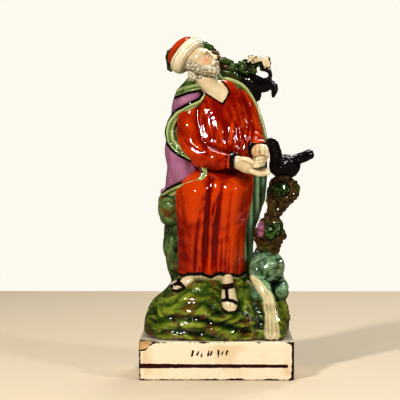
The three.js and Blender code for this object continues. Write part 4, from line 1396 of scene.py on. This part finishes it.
def make_cap():
    bm = bmesh.new()
    levels = [[1.5, 14.2], [4, 16.2], [8, 16.6], [11.6, 15.6]]

    def band(t, angle):
        z, radius = along(levels, t).T
        full = radius * closing(t, 6) * (1 + 0.022 * np.cos(8 * np.pi * t + 0.7 * np.sin(angle)))
        return np.stack([0.9 * full * np.cos(angle), full * np.sin(angle), z], 1)

    moulded(bm, band, 96, 64, CAP)
    crown_levels = [
        [5, 0, 0, 12.6, 14.4],
        [11.6, 0, 0.4, 12.8, 14.6],
        [16.6, 0, 0.9, 10.6, 11.8],
        [20.2, 0, 1.4, 4.6, 5],
    ]
    upright(bm, crown_levels, pose=CAP)
    clay = Clay("cap", bm, 0.4).smooth(3)
    local = in_frame(clay.co, CAP)
    angle = np.arctan2(local[:, 1], local[:, 0])
    wraps = np.sin(2.9 * local[:, 2] + 1.3 * np.sin(angle) + 0.5 * np.sin(3 * angle))
    crown = local[:, 2] - 11.0 + 0.4 * np.sin(2 * angle)
    on_band = ramp(-crown, 0, 1)
    clay.raise_by(0.2 * wraps * on_band + 0.14 * uneven(clay.co, 8, 95))
    clay.finish(
        cap_enamel(),
        shade=0.12 * ramp(-wraps, 0.6, 1) * on_band - 0.2,
        crown=crown,
        outline=0.3 - np.abs(crown),
    )


# Plinth

# The worn brush strokes on the plinth's front, in pixels: where they start, their top and their foot
STROKES_LEFT, STROKES_TOP, STROKES_FOOT = 193, 351, 356


def make_plinth():
    sizes = bpy.context.scene.ornament_sizes
    width, depth, height = sizes.plinth_width / MM, sizes.plinth_depth / MM, sizes.plinth_height / MM
    bm = bmesh.new()
    bmesh.ops.create_cube(bm, size=1)
    bmesh.ops.scale(bm, vec=(width * MM, depth * MM, height * MM), verts=bm.verts)
    bmesh.ops.translate(bm, vec=(0, 0, height * MM / 2), verts=bm.verts)
    bevel = {"affect": "EDGES", "profile": 0.5, "material": -1}
    corners = [e for e in bm.edges if abs(e.verts[0].co.z - e.verts[1].co.z) > MM]
    bmesh.ops.bevel(bm, geom=corners, offset=sizes.plinth_corner, segments=5, **bevel)
    rim = [e for e in bm.edges if abs(e.verts[0].co.z - e.verts[1].co.z) < MM / 10]
    bmesh.ops.bevel(bm, geom=rim, offset=sizes.plinth_rim, segments=3, **bevel)
    clay = Clay("plinth", bm, 0.76).smooth(1, 0.3)
    co = placed(clay.co) / MM
    side_x, side_y = width / 2 - np.abs(co[:, 0]), depth / 2 - np.abs(co[:, 1])
    from_left, from_front = co[:, 0] + width / 2, co[:, 1] + depth / 2
    down = height - co[:, 2]
    reach = (from_left + from_front) / (sizes.chip_width / MM) + down / (sizes.chip_height / MM)
    chip = 7 * (1 - reach) + 0.9 * uneven(co, 7, 101)
    on_side = ramp(down, 0.2, 0.8)
    level = ramp(co[:, 2], 0.4, 1.5) * ramp(down, -0.1, 0.6)
    clay.raise_by((-0.45 * ramp(chip, 0, 1.5) + 0.1 * uneven(co, 30, 102)) * level)
    corner = np.maximum(side_x, side_y)
    edge_on_side = np.minimum(np.minimum(co[:, 2], down), corner)
    edge_on_top = np.minimum(side_x, side_y) + 0.5
    edge = np.where(on_side > 0.5, edge_on_side, edge_on_top)
    corner_wear = (0.7 + 0.8 * ramp(co[:, 0], 0, 20)) * ramp(5 - corner, 0, 3) * on_side
    worn = 0.6 - edge + 0.8 * uneven(co, 11, 103) + corner_wear
    worn = np.maximum(worn, 0.7 - 1.3 * np.abs(chip))
    thick = sizes.line_width / MM / 2 + 0.35 * ramp(-co[:, 0], 20, 50) - 0.2 * ramp(co[:, 0], 10, 45)
    line_end = ramp(co[:, 0], width / 2 - 5, width / 2 - 3)
    line = thick - np.abs(co[:, 2] - sizes.line_height / MM) - 3 * line_end - 2 * (1 - on_side)
    strokes = []
    for i in range(8):
        x = STROKES_LEFT + 5 * i + 1.2 * math.sin(2.6 * i)
        rise = 1.4 * math.sin(4.1 * i)
        strokes.append(in_photo((x, STROKES_TOP - 0.5 * rise), (x - 1 + 0.5 * rise, STROKES_FOOT + rise)))
    marks = 0.65 - painted(clay.co, *strokes) - 5 * ramp(from_front, 0.5, 1)
    stain = 0.3 * ramp(12 - corner, 0, 11) * on_side + 0.25 * ramp(uneven(co, 34, 104), 0, 1)
    clay.finish(plinth_glaze(), shade=stain, chip=chip, line=line, edge=worn, marks=marks)


# Stage

TABLE_REACH = 0.65  # metres from the ornament to the table top's edges, where the photograph's table ends
LIGHTS = [
    # name, place in metres, width and height in metres, power in watts
    ("key_window", (-0.6, -0.95, 0.9), (0.08, 0.18), 12.5),
    ("fill_window", (0.9, -0.8, 0.6), (0.12, 0.24), 5),
    ("top_softbox", (0.1, 0.3, 1.3), (0.5, 0.5), 6),
    ("back_window", (0.35, 1.1, 0.8), (0.3, 0.3), 3),
]
LOOKED_AT = 0.13  # metres above the table top, where the lamps point
TABLE_IN_GLAZE = 0.15  # share of its brightness that the table top has in reflections


def make_stage():
    colours = bpy.context.scene.ornament_colours
    scene = bpy.context.scene
    bm = bmesh.new()
    bmesh.ops.create_grid(bm, x_segments=1, y_segments=1, size=TABLE_REACH)
    mesh = bpy.data.meshes.new("floor")
    bm.to_mesh(mesh)
    bm.free()
    floor = bpy.data.objects.new("floor", mesh)
    scene.collection.objects.link(floor)
    material = bpy.data.materials.new("pale_matt_paint")
    material.use_nodes = True
    shader = material.node_tree.nodes["Principled BSDF"]
    tree = material.node_tree
    # The table is darker in the glaze's reflections than to the camera, so it puts no haze over the paint
    mirrored = add(tree, "LightPath").outputs["Is Glossy Ray"]
    shades = {0: mirrored, 6: colours.floor, 7: [TABLE_IN_GLAZE * channel for channel in colours.floor]}
    tree.links.new(add(tree, "Mix", shades, data_type="RGBA").outputs[2], shader.inputs["Base Color"])
    shader.inputs["Roughness"].default_value = 0.7
    mesh.materials.append(material)
    light_the_room(scene, colours)
    lens = bpy.data.cameras.new("camera")
    lens.lens = FOCAL_PIXELS / PICTURE_SIZE * SENSOR_MM
    lens.sensor_width = SENSOR_MM
    lens.clip_end = 20
    camera = bpy.data.objects.new("camera", lens)
    camera.location = Vector(CAMERA_PLACE) * MM
    aim = Vector(CAMERA_AIM) * MM - camera.location
    camera.rotation_euler = aim.to_track_quat("-Z", "Y").to_euler()
    scene.collection.objects.link(camera)
    scene.camera = camera
    scene.view_settings.view_transform = "Standard"
    scene.view_settings.exposure = 0.14
    scene.view_settings.gamma = 0.8


def light_the_room(scene, colours):
    """A near-white wall all round, dim in what it lights and dimmer in reflections, and four soft lamps."""
    world = bpy.data.worlds.new("studio")
    world.use_nodes = True
    tree = world.node_tree
    path = add(tree, "LightPath").outputs
    dim = {"Value": path["Is Glossy Ray"], "To Min": 0.3, "To Max": 0.05}
    lit = add(tree, "MapRange", dim).outputs["Result"]
    bright = add(tree, "Math", {0: lit, 1: path["Is Camera Ray"]}, operation="MAXIMUM").outputs[0]
    room = tree.nodes["Background"]
    room.inputs["Color"].default_value = (*colours.wall, 1)
    tree.links.new(bright, room.inputs["Strength"])
    scene.world = world
    for name, place, (across, tall), power in LIGHTS:
        lamp = bpy.data.lights.new(name, "AREA")
        lamp.shape = "RECTANGLE"
        lamp.size, lamp.size_y = across, tall
        lamp.energy = power
        made = bpy.data.objects.new(name, lamp)
        made.location = place
        aim = Vector((0, 0, LOOKED_AT)) - made.location
        made.rotation_euler = aim.to_track_quat("-Z", "Y").to_euler()
        scene.collection.objects.link(made)


# Operators and panel


class ORNAMENT_OT_stage(bpy.types.Operator):
    """Sets the table top, the soft studio light and the camera"""

    bl_idname = "ornament.stage"
    bl_label = "Stage"

    def execute(self, context):
        make_stage()
        return {"FINISHED"}


class ORNAMENT_OT_plinth(bpy.types.Operator):
    """Makes the cream plinth with its line, worn edges and worn corner"""

    bl_idname = "ornament.plinth"
    bl_label = "Plinth"

    def execute(self, context):
        make_plinth()
        return {"FINISHED"}


class ORNAMENT_OT_ground(bpy.types.Operator):
    """Makes the mound, the rocks, the seat and the stream"""

    bl_idname = "ornament.ground"
    bl_label = "Ground"

    def execute(self, context):
        make_ground()
        return {"FINISHED"}


class ORNAMENT_OT_tree(bpy.types.Operator):
    """Makes the trunk, its crown and the branch with the leaf rosette and the broken stubs"""

    bl_idname = "ornament.tree"
    bl_label = "Tree"

    def execute(self, context):
        make_tree()
        return {"FINISHED"}


class ORNAMENT_OT_stump(bpy.types.Operator):
    """Makes the knotted stump on the right"""

    bl_idname = "ornament.stump"
    bl_label = "Stump"

    def execute(self, context):
        make_stump()
        return {"FINISHED"}


class ORNAMENT_OT_ravens(bpy.types.Operator):
    """Makes the two ravens"""

    bl_idname = "ornament.ravens"
    bl_label = "Ravens"

    def execute(self, context):
        make_ravens()
        return {"FINISHED"}


class ORNAMENT_OT_cloak(bpy.types.Operator):
    """Makes the cloak with its turned edge, lining and fall"""

    bl_idname = "ornament.cloak"
    bl_label = "Cloak"

    def execute(self, context):
        make_cloak()
        return {"FINISHED"}


class ORNAMENT_OT_robe(bpy.types.Operator):
    """Makes the pleated robe with its sleeves, collar and cuffs"""

    bl_idname = "ornament.robe"
    bl_label = "Robe"

    def execute(self, context):
        make_robe()
        return {"FINISHED"}


class ORNAMENT_OT_hands(bpy.types.Operator):
    """Makes the hands and the loaf they hold"""

    bl_idname = "ornament.hands"
    bl_label = "Hands and bread"

    def execute(self, context):
        make_hands()
        return {"FINISHED"}


class ORNAMENT_OT_feet(bpy.types.Operator):
    """Makes the two sandalled feet"""

    bl_idname = "ornament.feet"
    bl_label = "Feet"

    def execute(self, context):
        make_feet()
        return {"FINISHED"}


class ORNAMENT_OT_head(bpy.types.Operator):
    """Makes the neck, the head and the curled beard"""

    bl_idname = "ornament.head"
    bl_label = "Head"

    def execute(self, context):
        make_head()
        return {"FINISHED"}


class ORNAMENT_OT_cap(bpy.types.Operator):
    """Makes the cap with its wrapped band"""

    bl_idname = "ornament.cap"
    bl_label = "Cap"

    def execute(self, context):
        make_cap()
        return {"FINISHED"}


OPERATORS = (
    ORNAMENT_OT_stage,
    ORNAMENT_OT_plinth,
    ORNAMENT_OT_ground,
    ORNAMENT_OT_tree,
    ORNAMENT_OT_stump,
    ORNAMENT_OT_ravens,
    ORNAMENT_OT_cloak,
    ORNAMENT_OT_robe,
    ORNAMENT_OT_hands,
    ORNAMENT_OT_feet,
    ORNAMENT_OT_head,
    ORNAMENT_OT_cap,
)


class ORNAMENT_PT_pieces(bpy.types.Panel):
    bl_label = "Ornament"
    bl_idname = "ORNAMENT_PT_pieces"
    bl_space_type = "VIEW_3D"
    bl_region_type = "UI"
    bl_category = "Ornament"

    def draw(self, context):
        for operator in OPERATORS:
            self.layout.operator(operator.bl_idname)
        for group in (context.scene.ornament_sizes, context.scene.ornament_colours):
            for label in group.bl_rna.properties.keys():
                if label not in ("rna_type", "name"):
                    self.layout.prop(group, label)


CLASSES = (OrnamentSizes, OrnamentColours, *OPERATORS, ORNAMENT_PT_pieces)


def register():
    for made in CLASSES:
        bpy.utils.register_class(made)
    bpy.types.Scene.ornament_sizes = bpy.props.PointerProperty(type=OrnamentSizes)
    bpy.types.Scene.ornament_colours = bpy.props.PointerProperty(type=OrnamentColours)


def unregister():
    del bpy.types.Scene.ornament_colours
    del bpy.types.Scene.ornament_sizes
    for made in reversed(CLASSES):
        bpy.utils.unregister_class(made)


def main():
    register()
    bpy.ops.ornament.stage()
    bpy.ops.ornament.plinth()
    bpy.ops.ornament.ground()
    bpy.ops.ornament.tree()
    bpy.ops.ornament.stump()
    bpy.ops.ornament.ravens()
    bpy.ops.ornament.cloak()
    bpy.ops.ornament.robe()
    bpy.ops.ornament.hands()
    bpy.ops.ornament.feet()
    bpy.ops.ornament.head()
    bpy.ops.ornament.cap()


if __name__ == "__main__":
    main()
